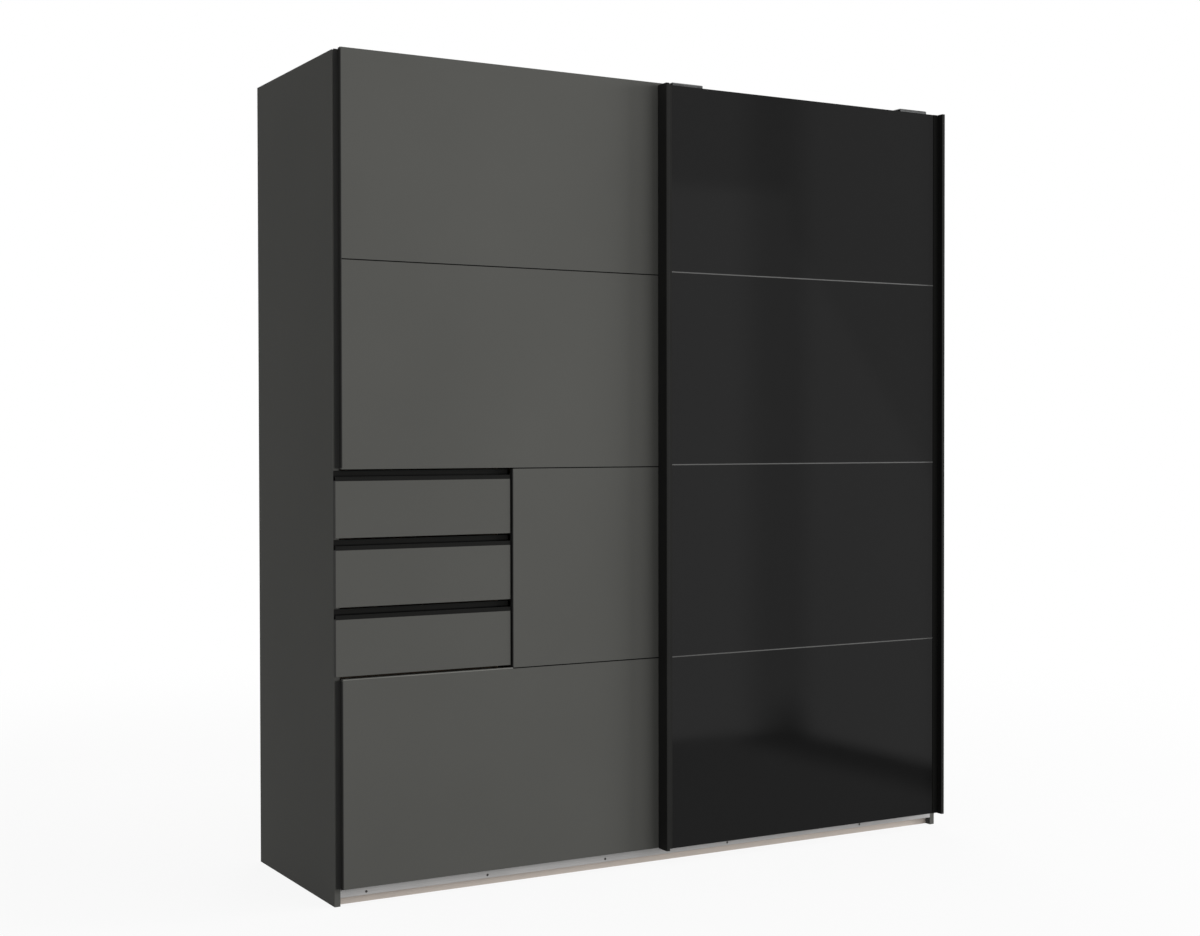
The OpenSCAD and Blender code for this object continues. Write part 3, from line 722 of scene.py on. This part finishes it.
SAND = (206, 190, 170)
GRAPHITE = BoardFinish("graphite_board", (89, 89, 86), 0.62, (91, 91, 88), gloss=0.04)
DRAWER_FRONT = BoardFinish("drawer_front_board", (89, 89, 86), 0.62, (66, 66, 64), gloss=0.04)
# Linen boards whose near-black edge colour is painted shade, for the edges seen through the gaps round the
# drawers.
SHADE_EDGED_LINEN = BoardFinish("linen_board_painted_shade_edges", SAND, 0.6, (34, 34, 33), pattern=Pattern.LINEN, gloss=0.2)
LINEN = BoardFinish("linen_board", SAND, 0.6, (200, 184, 163), pattern=Pattern.LINEN)
PLINTH = BoardFinish("plinth_board", (201, 191, 182), 0.6, (208, 198, 189))
BACKING = BoardFinish("backing_board", (58, 58, 56), 0.6, (50, 50, 48))
SILVER_X = MetalFinish("anodised_silver", (180, 179, 178), 0.45, Axis.X, metallic=0.4)
PALE_STRIP = MetalFinish("pale_joint_strip", (92, 92, 91), 0.5, Axis.X, metallic=0.2, gloss=0.25)
# A grey metal strip, lightened so that it also paints the highlight along the lowest panel's shaded top edge.
LEDGE_AND_HIGHLIGHT = MetalFinish("ledge_strip_and_highlight", (122, 122, 118), 0.5, Axis.X, metallic=0.1, gloss=0.25)
BLACK_Z = MetalFinish("anodised_black_upright", (40, 40, 39), 0.6, Axis.Z, gloss=0.03)
# Painted light: a lighter copy of the black anodised finish, which makes up for the shade on the board door's
# edge profiles.
LIT_EDGE_Z = MetalFinish("anodised_black_edge_painted_light", (58, 58, 57), 0.6, Axis.Z, gloss=0.01)
BLACK_X = MetalFinish("anodised_black_level", (26, 26, 25), 0.55, Axis.X, gloss=0.08)
DARK_STRIP = MouldedFinish("dark_joint_strip", (9, 9, 9), 0.6, gloss=0.05)
PILE = MouldedFinish("black_pile", (22, 22, 22), 0.9, grain=1600.0, relief=0.3 * MM, gloss=0.1)
ZINC = ZincFinish("zinc_plate", (186, 188, 188), 0.32)
CARRIAGE_STEEL = ZincFinish("burnished_steel", (112, 113, 113), 0.38)
DARK_ZINC = ZincFinish("dark_zinc", (86, 84, 82), 0.4)
POWDER = MouldedFinish("white_powder_coat", (216, 217, 215), 0.42, grain=700.0, relief=0.06 * MM)
NYLON = MouldedFinish("nylon", (226, 222, 212), 0.45, relief=0.03 * MM)
RUBBER = MouldedFinish("stop_rubber", (34, 34, 34), 0.75, grain=500.0, relief=0.08 * MM, gloss=0.25)
GUIDE_PLASTIC = MouldedFinish("guide_plastic", (34, 34, 34), 0.5, relief=0.04 * MM, gloss=0.35)
BLACK_GLASS = GlassFinish("black_glass", (20, 20, 20), 0.07, (70, 76, 73))


PAN_HEAD = CrossHead(in_mm((4.4, 0.0), (4.4, 0.9), (4.0, 1.6), (3.2, 2.1)),
                     recess=(2.2 * MM, 0.9 * MM, 1.4 * MM))
LOW_HEAD = CrossHead(in_mm((4.4, 0.0), (4.4, 0.5), (3.9, 1.0), (3.1, 1.3)),
                     recess=(2.1 * MM, 0.9 * MM, 0.9 * MM))
FLAT_HEAD = CrossHead(in_mm((2.9, -2.0), (2.9, 0.3), (2.6, 0.6), (2.2, 0.7)),
                      recess=(1.6 * MM, 0.7 * MM, 1.2 * MM))
CAM = CrossHead(in_mm((7.5, -3.0), (7.5, 0.3), (7.1, 0.5), (4.6, 0.5), (4.4, 0.2)),
                recess=(3.4 * MM, 1.5 * MM, 1.8 * MM))
NAIL = Turned(in_mm((2.6, -0.5), (2.6, 0.2), (2.1, 0.55), (1.1, 0.7)))
WASHER_HEIGHT = 0.7 * MM
WASHER = Washer(in_mm((2.2, 0.0), (7.0, 0.0), (7.0, 0.525), (6.825, 0.7), (2.2, 0.7)))


@dataclass
class Carcass:
    """Boards, rails and gear that stand still."""

    backs: tuple[str, ...] = ("back_panel_left", "back_panel_right")
    track_base: float = 2.0 * MM
    track_ribs: tuple[float, float] = (9.0 * MM, 33.0 * MM)
    track_screws: int = 6
    track_screw_pitch: float = 0.36
    track_screw_turn: float = 7.0
    rail_shank: float = 2.0 * MM
    rail_head: float = 3.5 * MM
    rail_head_edge: float = 0.3 * MM
    rail_neck: float = 0.1 * MM
    rail_wall: float = 1.8 * MM
    rail_screw_turn: float = 9.0
    cam_inset: float = 0.034
    cam_turn: float = 5.0
    nail_pitch: float = 0.15
    nail_inset: float = 0.012
    runner_wall: float = 1.2 * MM
    runner_apart: float = 0.05
    runner_screws: tuple[float, ...] = (0.046, 0.21, 0.402)
    runner_screw_turn: float = 20.0

    def dress(self) -> None:
        """Gives the carcass its boards' decor and its metal parts' finish."""
        for material, edge, nodes in (
            (GRAPHITE.material(Axis.X), Edge.BOARD, ("side_panel_left", "side_panel_right")),
            (GRAPHITE.material(Axis.Z), Edge.BOARD, ("top_panel",)),
            (LINEN.material(Axis.X), Edge.BOARD, ("centre_partition",)),
            # The boards round the drawers have painted shade on their edges.
            (SHADE_EDGED_LINEN.material(Axis.X), Edge.BOARD, ("drawer_partition",)),
            (SHADE_EDGED_LINEN.material(Axis.Z), Edge.BOARD, ("middle_board", "drawer_unit_floor")),
            (LINEN.material(Axis.Z), Edge.BOARD, ("hat_shelves", "bottom_panel")),
            (LINEN.material(Axis.Y), Edge.THIN, self.backs),
            (PLINTH.material(Axis.Y), Edge.BOARD, ("plinth_boards",)),
            (SILVER_X.material(), Edge.DRAWN, ("clothes_rails", "top_track", "bottom_guide_rail")),
            (NYLON.material(), Edge.FITTING, ("clothes_rail_sockets",)),
            (ZINC.material(), Edge.FITTING, ("shelf_pins",)),
            (RUBBER.material(), Edge.RUBBER, ("track_end_stops",)),
            (POWDER.material(), Edge.ROLLED, ("cabinet_runners",)),
        ):
            dress(material, edge, *nodes)
        self.fit_rail_screws()
        self.fit_zinc("top_track_screws", self.track_screw_places(), LOW_HEAD)
        self.fit_zinc("board_cams", self.cam_places(), CAM)
        self.fit_zinc("back_panel_nails", self.nail_places(), NAIL)
        self.fit_zinc("cabinet_runner_screws", self.runner_screw_places(), FLAT_HEAD)

    def fit_zinc(self, name: str, places: Iterable[Matrix], head: Turned) -> None:
        """Makes a piece of zinc-plated heads, all of one form."""
        form = head.form()
        fit(name, "carcass", ZINC.material(), [(form, place) for place in places])

    def fit_rail_screws(self) -> None:
        """Makes the screws that hold the bottom guide rail, and hides the CAD's plain ones."""
        low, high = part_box("guide_rail_screws")
        neck = -self.rail_wall / 2.0
        head = CrossHead(((self.rail_shank, low[1] - high[1]), (self.rail_shank, neck - self.rail_neck),
                          (self.rail_head, neck), (self.rail_head, -self.rail_head_edge),
                          (self.rail_head - self.rail_head_edge, 0.0))).form()
        middle = (low[2] + high[2]) / 2.0
        parts = [(head, seated((place, low[1], middle), Axis.Y.unit(-1.0), place * self.rail_screw_turn))
                 for place in middles("guide_rail_screws", Axis.X)]
        screws = fit("guide_rail_cross_screws", "carcass", DARK_ZINC.material(), parts)
        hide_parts("guide_rail_screws")

    def track_screw_places(self) -> list[Matrix]:
        """Gives the places of the screws between the top track's two ribs.

        Returns:
            The place of each screw.
        """
        low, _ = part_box("top_track")
        depth = low[1] + sum(self.track_ribs) / 2.0
        places = [self.track_screw_pitch * (step + 0.5 - self.track_screws / 2)
                  for step in range(self.track_screws)]
        return [seated((place, depth, low[2] + self.track_base), Axis.Z.unit(), place * self.track_screw_turn)
                for place in places]

    def cam_places(self) -> list[Matrix]:
        """Gives the places of the cam fittings on the undersides of the boards, near their ends.

        Returns:
            The place of each fitting.
        """
        wall_low, wall_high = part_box("centre_partition")
        beside_wall = [wall_low[0] - self.cam_inset, wall_high[0] + self.cam_inset]
        places = []
        for node, more in (("top_panel", beside_wall), ("middle_board", []), ("drawer_unit_floor", [])):
            low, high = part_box(node)
            across = [low[0] + self.cam_inset, high[0] - self.cam_inset, *more]
            along = [low[1] + 2.0 * self.cam_inset, high[1] - 2.0 * self.cam_inset]
            places += [seated((x, y, low[2]), Axis.Z.unit(-1.0), x * self.cam_turn)
                       for x in across for y in along]
        return places

    def nail_places(self) -> list[Matrix]:
        """Gives the places of the nails that hold the back panels to the partition and the boards.

        Returns:
            The place of each nail.
        """
        places: list[tuple[float, float]] = []
        levels = [sum(corner[2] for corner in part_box(node)) / 2.0
                  for node in ("bottom_panel", "hat_shelves", "top_panel")]
        for node, side in zip(self.backs, (1.0, -1.0)):
            low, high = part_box(node)
            inner = high[0] if side > 0.0 else low[0]
            count = int((high[2] - low[2]) / self.nail_pitch)
            rise = (high[2] - low[2] - 2.0 * self.nail_inset) / count
            places += [(inner - side * self.nail_inset / 2.0, low[2] + self.nail_inset + rise * step)
                       for step in range(count + 1)]
            run = high[0] - low[0] - 2.0 * self.nail_inset
            steps = int(run / self.nail_pitch)
            places += [(low[0] + self.nail_inset + run * (step + 0.5) / steps, level)
                       for level in levels for step in range(steps)]
        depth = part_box(self.backs[0])[1][1]
        return [seated((x, depth, z), Axis.Y.unit()) for x, z in places]

    def runner_screw_places(self) -> list[Matrix]:
        """Gives the places of the screws in the channels that the drawers run in.

        Returns:
            The place of each screw.
        """
        low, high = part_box("cabinet_runners")
        walls = ((low[0] + self.runner_wall, 1.0), (high[0] - self.runner_wall, -1.0))
        return [seated((wall, low[1] + place, level), Axis.X.unit(side), place * self.runner_screw_turn)
                for level in middles("cabinet_runners", Axis.Z, self.runner_apart)
                for wall, side in walls for place in self.runner_screws]


@dataclass
class DoorGear:
    """The carriages, wheels and guides of one door, and the screws that hold them."""

    door: str
    head: CrossHead
    washer: Washer | None = None
    plate: float = 2.5 * MM
    slot_end: float = 18.0 * MM
    carriage_slots: float = 25.0 * MM
    guide_slots: float = 10.0 * MM
    apart: float = 0.3

    def dress(self) -> None:
        """Gives the gear its finishes and its screws."""
        dress(CARRIAGE_STEEL.material(), Edge.FITTING, f"{self.door}_carriages")
        dress(GUIDE_PLASTIC.material(), Edge.BOARD, f"{self.door}_guides")
        dress(NYLON.material(), Edge.THIN, f"{self.door}_wheel_1", f"{self.door}_wheel_2")
        parts = []
        low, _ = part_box(f"{self.door}_carriages")
        back = Axis.Y.unit()
        for middle, side in self.pairs("carriages"):
            seat = Vector((middle + side * self.carriage_slots, low[1] + self.plate, low[2] + self.slot_end))
            if self.washer:
                parts.append((self.washer.form(), seated(seat, back)))
                seat += back * WASHER_HEIGHT
            parts.append((self.head.form(), seated(seat, back, middle + side)))
        low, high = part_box(f"{self.door}_guides")
        for middle, side in self.pairs("guides"):
            seat = (middle + side * self.guide_slots, low[1] + self.plate, high[2] - self.slot_end)
            parts.append((LOW_HEAD.form(), seated(seat, back, middle - side)))
        fit(f"{self.door}_gear_screws", self.door, ZINC.material(), parts)

    def pairs(self, kind: str) -> list[tuple[float, float]]:
        """Gives both sides of the middle of every carriage or guide."""
        return [(x, side) for x in middles(f"{self.door}_{kind}", Axis.X, self.apart) for side in (-1.0, 1.0)]


@dataclass
class BoardDoor:
    """The door in the rear lane."""

    rows: int = 4
    ledge_height: float = 3.0 * MM
    ledge_seam: float = 0.35 * MM
    ledge_inset: float = 2.0 * MM
    ledge_bevel: float = 0.2 * MM

    def dress(self) -> None:
        """Gives the board door its decor, profiles and gear."""
        panels = [f"left_door_panel_{row}" for row in range(1, self.rows + 1)]
        dress(GRAPHITE.material(Axis.Y), Edge.FRONT, *panels)
        # The edge profiles get the lightened black finish, as painted light.
        dress(LIT_EDGE_Z.material(), Edge.PROFILE, "left_door_edge_profiles")
        dress(DARK_STRIP.material(), Edge.DRAWN, "left_door_joint_strips")
        DoorGear("left_door", LOW_HEAD).dress()
        self.fit_ledge()

    def fit_ledge(self) -> None:
        """Makes the strip on the lowest panel's top edge, under the drawers, whose pale tone is partly
        painted highlight.
        """
        low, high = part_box("left_door_panel_4")
        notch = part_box("left_door_panel_3")[0][0]
        depth, rise = high[1] - low[1], self.ledge_height - self.ledge_seam
        outline = ((0.0, 0.0), (depth, 0.0), (depth, rise), (0.0, rise))
        bar = Bar(outline, notch - low[0] - 2.0 * self.ledge_inset, self.ledge_bevel)
        place = Matrix.Translation((low[0] + self.ledge_inset, low[1], high[2] + self.ledge_seam))
        along_x = Matrix((Axis.Z.unit(), Axis.X.unit(), Axis.Y.unit())).to_4x4()
        parts = [(bar.form(), place @ along_x)]
        fit("notch_ledge_strip", "left_door", LEDGE_AND_HIGHLIGHT.material(), parts)


@dataclass
class GlassDoor:
    """The door in the front lane."""

    rows: int = 4
    wall: float = 11.0 * MM
    cap_height: float = 1.2 * MM
    cap_corner: float = 1.5 * MM
    cap_steps: int = 4
    cap_bevel: float = 0.4 * MM
    pile_width: float = 5.0 * MM
    pile_height: float = 2.4 * MM
    pile_taper: float = 0.18
    pile_bevel: float = 0.1 * MM
    # Painted shade beside the right handle's grip fin: where it lies and its dark tone.
    recess_lap: float = 0.3 * MM
    recess_clear: float = 5.0 * MM
    recess_shade_colour: Colour = (26, 26, 25)

    def dress(self) -> None:
        """Gives the glass door its panes, handles and gear."""
        panes = [f"right_door_pane_{row}" for row in range(1, self.rows + 1)]
        dress(BLACK_GLASS.material(Axis.Y), Edge.GLASS, *panes)
        dress(BACKING.material(Axis.Y), Edge.THIN, "right_door_backing")
        dress(BLACK_Z.material(), Edge.HANDLE, "right_door_handle_left")
        # The right handle's material carries painted shade beside its grip fin.
        dress(BLACK_Z.material(self.recess()), Edge.HANDLE, "right_door_handle_right")
        dress(PALE_STRIP.material(), Edge.ROLLED, "right_door_joint_strips")
        DoorGear("right_door", PAN_HEAD, WASHER).dress()
        self.fit_caps()
        self.fit_pile()

    def recess(self) -> ShadeZone:
        """Gives the painted shade on the right handle: a darker tone beside its grip fin, where the fin
        shades the channel.

        Returns:
            The zone for the handle's material.
        """
        low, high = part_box("right_door_handle_right")
        start = tuple(side - self.recess_clear for side in low)
        end = (high[0] - self.wall + self.recess_lap, *(side + self.recess_clear for side in high[1:]))
        return ShadeZone("recess", start, end, self.recess_shade_colour)

    def cap_outline(self, depth: float) -> Outline:
        """Gives the outline of a cap, with round corners.

        Args:
            depth: Its size from front to back.

        Returns:
            The outline's corners.
        """
        outline, radius = [], self.cap_corner
        for quarter, (across, along) in enumerate(((1, 1), (0, 1), (0, 0), (1, 0))):
            x = across * self.wall + (1 - 2 * across) * radius
            y = along * depth + (1 - 2 * along) * radius
            for step in range(self.cap_steps + 1):
                turn = math.pi / 2.0 * (quarter + step / self.cap_steps)
                outline.append((x + radius * math.cos(turn), y + radius * math.sin(turn)))
        return outline

    def fit_caps(self) -> None:
        """Makes the plastic caps on both ends of the two hollow handles."""
        parts = []
        for side in ("left", "right"):
            low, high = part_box(f"right_door_handle_{side}")
            start = low[0] if side == "left" else high[0] - self.wall
            cap = Bar(self.cap_outline(high[1] - low[1]), self.cap_height, self.cap_bevel).form()
            parts += [(cap, Matrix.Translation((start, low[1], level)))
                      for level in (low[2] - self.cap_height, high[2])]
        fit("handle_end_caps", "right_door", GUIDE_PLASTIC.material(), parts)

    def fit_pile(self) -> None:
        """Makes the pile strip behind the left handle, which keeps dust out between the doors."""
        low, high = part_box("right_door_handle_left")
        inset = (self.wall - self.pile_width) / 2.0
        tip = self.pile_width * self.pile_taper
        outline = ((0.0, 0.0), (self.pile_width, 0.0), (self.pile_width - tip, self.pile_height),
                   (tip, self.pile_height))
        pile = Bar(outline, high[2] - low[2], self.pile_bevel).form()
        fit("dust_pile_strip", "right_door", PILE.material(),
            [(pile, Matrix.Translation((low[0] + inset, high[1], low[2])))])


@dataclass
class DrawerStack:
    """The drawers beside the board door."""

    count: int = 3
    side: float = 12.0 * MM
    cam_back: float = 24.0 * MM
    cam_rise: float = 30.0 * MM
    cam_turn: float = 60.0
    lip_height: float = 11.5 * MM
    # The hollow fields place painted shade, a near-black tone behind each grip's lip up to the lip's height.
    hollow_start: float = 4.0 * MM
    hollow_fade: float = 4.5 * MM
    hollow_shade_colour: Colour = (2, 2, 2)

    def dress(self) -> None:
        """Gives every drawer its front, grip, box and runners."""
        for name in (f"drawer_{number}" for number in range(1, self.count + 1)):
            dress(DRAWER_FRONT.material(Axis.Y), Edge.FRONT, f"{name}_front")
            # Each grip's material carries painted shade low in its hollow.
            dress(BLACK_X.material(self.hollow(name)), Edge.PROFILE, f"{name}_grip")
            dress(LINEN.material(Axis.Z), Edge.FITTING, f"{name}_box")
            dress(POWDER.material(), Edge.ROLLED, f"{name}_runners")
            dress(NYLON.material(), Edge.FITTING, f"{name}_front_rollers", f"{name}_rear_rollers")
            self.fit_cams(name)

    def hollow(self, name: str) -> ShadeZone:
        """Gives the painted shade at the bottom of the hollow behind a grip's lip.

        Args:
            name: The drawer's name.

        Returns:
            The zone for the grip's material.
        """
        low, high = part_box(f"{name}_grip")
        fade = self.hollow_fade
        start = (low[0] - fade, low[1] + self.hollow_start, low[2] - fade)
        end = (high[0] + fade, high[1] + fade, low[2] + self.lip_height + fade)
        return ShadeZone(f"hollow_{name}", start, end, self.hollow_shade_colour, fade)

    def fit_cams(self, name: str) -> None:
        """Makes the cam fittings that pull a drawer's sides to its front.

        Args:
            name: The drawer's name.
        """
        cam = CAM.form()
        low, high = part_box(f"{name}_box")
        depth, middle = low[1] + self.cam_back, (low[2] + high[2]) / 2.0
        walls = ((low[0] + self.side, 1.0), (high[0] - self.side, -1.0))
        parts = [(cam, seated((wall, depth, middle + rise), Axis.X.unit(side), rise * self.cam_turn))
                 for wall, side in walls for rise in (-self.cam_rise, self.cam_rise)]
        fit(f"{name}_cams", name, ZINC.material(), parts)


@dataclass(frozen=True)
class Fall:
    """A soft change of brightness over a screen, by the distance from a point or along an axis."""

    start: float
    end: float
    low: float
    along: Point | None = None
    centre: Point | None = None

    def factor(self, graph: MaterialGraph) -> Socket:
        """Gives 1 before the start, the low value after the end, and a smooth step between.

        Args:
            graph: The screen material's nodes.

        Returns:
            The factor's output.
        """
        kind, other = ("DOT_PRODUCT", self.along) if self.along else ("DISTANCE", self.centre)
        measure = graph.add("ShaderNodeVectorMath", {0: graph.place, 1: other}, operation=kind)
        return graph.ramp(measure.outputs["Value"], (self.start, self.end), (1.0, self.low))


@dataclass(frozen=True)
class Screen:
    """A flat studio screen that only shows in gloss, and glows with soft falls of shade."""

    name: str
    corners: Sequence[Point]
    glow: float
    falls: tuple[Fall, ...]

    def build(self) -> None:
        """Makes the screen as part of the stage."""
        screen = surface(self.name, self.corners, self.material())
        for kind in ("camera", "diffuse", "transmission", "shadow"):
            setattr(screen, f"visible_{kind}", False)
        log.info("built %s", self.name)

    def material(self) -> Material:
        """Makes the glow, which every fall dims in turn.

        Returns:
            The new material.
        """
        graph = MaterialGraph(f"{self.name}_glow")
        strength: object = self.glow
        for fall in self.falls:
            strength = graph.math("MULTIPLY", fall.factor(graph), strength)
        graph.show(graph.add("ShaderNodeEmission", {"Strength": strength}).outputs[0])
        return graph.material


@dataclass
class Booth:
    """The grey screens in front of the wardrobe that show in its glass as a soft room corner."""

    left: float = -3.4
    right: float = 1.60
    front: float = -1.95
    back: float = 4.0
    top: float = 3.2
    floor_end: float = -0.36
    floor_level: float = 2.0 * MM
    front_glow: float = 0.415
    right_glow: float = 0.37
    left_glow: float = 0.40
    floor_glow: float = 0.200
    slope: Point = (0.0, 0.748, 0.664)

    def upright(self, *ends: tuple[float, float]) -> list[Point]:
        """Gives the corners of an upright screen between two points on the floor."""
        return [(*ends[0], 0.0), (*ends[1], 0.0), (*ends[1], self.top), (*ends[0], self.top)]

    def build(self) -> None:
        """Makes the four screens."""
        x, y, z = (tuple(axis.unit()) for axis in Axis)
        near_left, near_right = (self.left, self.front), (self.right, self.front)
        far_left, far_right = (self.left, self.back), (self.right, self.back)
        corner = Fall(0.22, 0.0, 0.35, centre=(*near_right, 0.0))
        foot = Fall(0.05, 0.0, 0.4, along=z)
        Screen("front_screen", self.upright(near_left, near_right), self.front_glow,
               (Fall(1.30, 1.50, 0.68, along=x), Fall(2.17, 2.25, 0.74, along=z), foot, corner)).build()
        Screen("right_screen", self.upright(near_right, far_right), self.right_glow,
               (Fall(-1.74, self.front, 0.72, along=y), Fall(-0.14, -0.05, 0.86, along=self.slope),
                foot, corner)).build()
        Screen("left_screen", self.upright(near_left, far_left), self.left_glow,
               (Fall(0.0, -2.0, 0.75, along=y),)).build()
        flat = [(*place, self.floor_level) for place in
                (near_left, near_right, (self.right, self.floor_end), (self.left, self.floor_end))]
        Screen("floor_screen", flat, self.floor_glow, (Fall(1.18, 1.50, 0.3, along=x), corner)).build()


@dataclass(frozen=True)
class Lamp:
    """A soft rectangular lamp that faces a point."""

    name: str
    place: Point
    target: Point
    size: tuple[float, float]
    power: float
    in_gloss: bool = False

    def build(self) -> None:
        """Makes the lamp."""
        light = bpy.data.lights.new(self.name, "AREA")
        light.shape = "RECTANGLE"
        light.size, light.size_y = self.size
        light.energy = self.power
        lamp = linked(self.name, light)
        lamp.location = self.place
        lamp.rotation_mode = "QUATERNION"
        lamp.rotation_quaternion = (Vector(self.target) - Vector(self.place)).to_track_quat("-Z", "Y")
        lamp.visible_glossy = self.in_gloss
        log.info("built %s", self.name)


FRONT_MIDDLE = (-0.4, -0.3, 1.2)
LAMPS = (
    Lamp("key_lamp", (10.6, -3.3, 2.2), FRONT_MIDDLE, (5.0, 4.5), 1090.0, True),
    Lamp("broad_lamp", (4.3, -6.4, 2.2), FRONT_MIDDLE, (5.0, 4.0), 200.0),
    Lamp("fill_lamp", (-1.6, -6.6, 1.3), FRONT_MIDDLE, (2.0, 2.0), 40.0),
    Lamp("back_lamp", (3.4, 7.0, 2.6), (0.2, 0.3, 1.1), (4.0, 3.0), 200.0),
    Lamp("top_lamp", (0.0, -0.6, 5.2), (0.0, 0.0, 0.0), (3.5, 3.0), 30.0, True),
)


@dataclass
class Studio:
    """Camera, pale floor, world, lamps and booth."""

    camera_place: Point = (-2.6766, -4.5881, 1.2120)
    camera_yaw: float = 29.69
    camera_pitch: float = -0.93
    camera_roll: float = -0.09
    lens: float = 53.42
    sensor: float = 36.0
    floor_reach: float = 40.0
    floor_white: Range = (2.2, 5.0)
    floor_glow: float = 0.90
    floor_bounce: float = 0.36
    floor_paint: float = 0.86
    floor_roughness: float = 0.9
    floor_gloss: float = 0.1
    ambient: float = 0.42

    def build(self) -> None:
        """Makes the camera, the floor, the world, the lamps and the booth."""
        self.make_camera()
        self.make_floor()
        self.make_world()
        for lamp in LAMPS:
            lamp.build()
        Booth().build()
        view = bpy.context.scene.view_settings
        view.view_transform = "Standard"

    def make_camera(self) -> None:
        """Makes the camera and hands it to the scene."""
        lens = bpy.data.cameras.new("studio_camera")
        lens.lens = self.lens
        lens.sensor_width = self.sensor
        camera = linked("studio_camera", lens)
        turn = Euler((math.radians(90.0 + self.camera_pitch), 0.0, math.radians(-self.camera_yaw)), "XYZ")
        roll = Matrix.Rotation(math.radians(self.camera_roll), 4, "Z")
        camera.matrix_world = Matrix.Translation(self.camera_place) @ turn.to_matrix().to_4x4() @ roll
        bpy.context.scene.camera = camera

    def make_floor(self) -> None:
        """Makes the pale floor, which shows white and keeps a soft shadow."""
        graph = MaterialGraph("pale_floor")
        seen = graph.seen()
        bounce, paint = ((level, level, level, 1.0) for level in (self.floor_bounce, self.floor_paint))
        graph.feed(Roughness=self.floor_roughness, Specular_IOR_Level=self.floor_gloss,
                   Base_Color=graph.mixed(seen, bounce, paint))
        distance = graph.add("ShaderNodeVectorMath", {0: graph.place}, operation="LENGTH").outputs["Value"]
        glow = graph.add("ShaderNodeEmission", {"Strength": 1.0}).outputs[0]
        share = graph.math("MULTIPLY", seen, graph.ramp(distance, self.floor_white, (self.floor_glow, 1.0)))
        layers = {0: share, 1: graph.shader.outputs[0], 2: glow}
        graph.show(graph.add("ShaderNodeMixShader", layers).outputs[0])
        reach = self.floor_reach
        corners = ((-reach, -reach, 0.0), (reach, -reach, 0.0), (reach, reach, 0.0), (-reach, reach, 0.0))
        surface("studio_floor", corners, graph.material)

    def make_world(self) -> None:
        """Makes a world that looks white, and lights the object softly."""
        world = bpy.data.worlds.new("studio_world")
        world.use_nodes = True
        graph = NodeGraph(world.node_tree)
        background = graph.tree.nodes["Background"].inputs
        background["Color"].default_value = (1.0, 1.0, 1.0, 1.0)
        graph.put(graph.ramp(graph.seen(), (0.0, 1.0), (self.ambient, 1.0), "LINEAR"), background["Strength"])
        bpy.context.scene.world = world


def main() -> None:
    """Builds the studio and dresses every sub-assembly in turn."""
    logging.basicConfig(level=logging.INFO, format="%(message)s")
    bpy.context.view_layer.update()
    Studio().build()
    for assembly in (Carcass(), BoardDoor(), GlassDoor(), DrawerStack()):
        assembly.dress()
    plain = [name for name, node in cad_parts.items() if not (node.modifiers or node.hide_render)]
    if plain:
        log.warning("still plain: %s", ", ".join(plain))


if __name__ == "__main__":
    main()
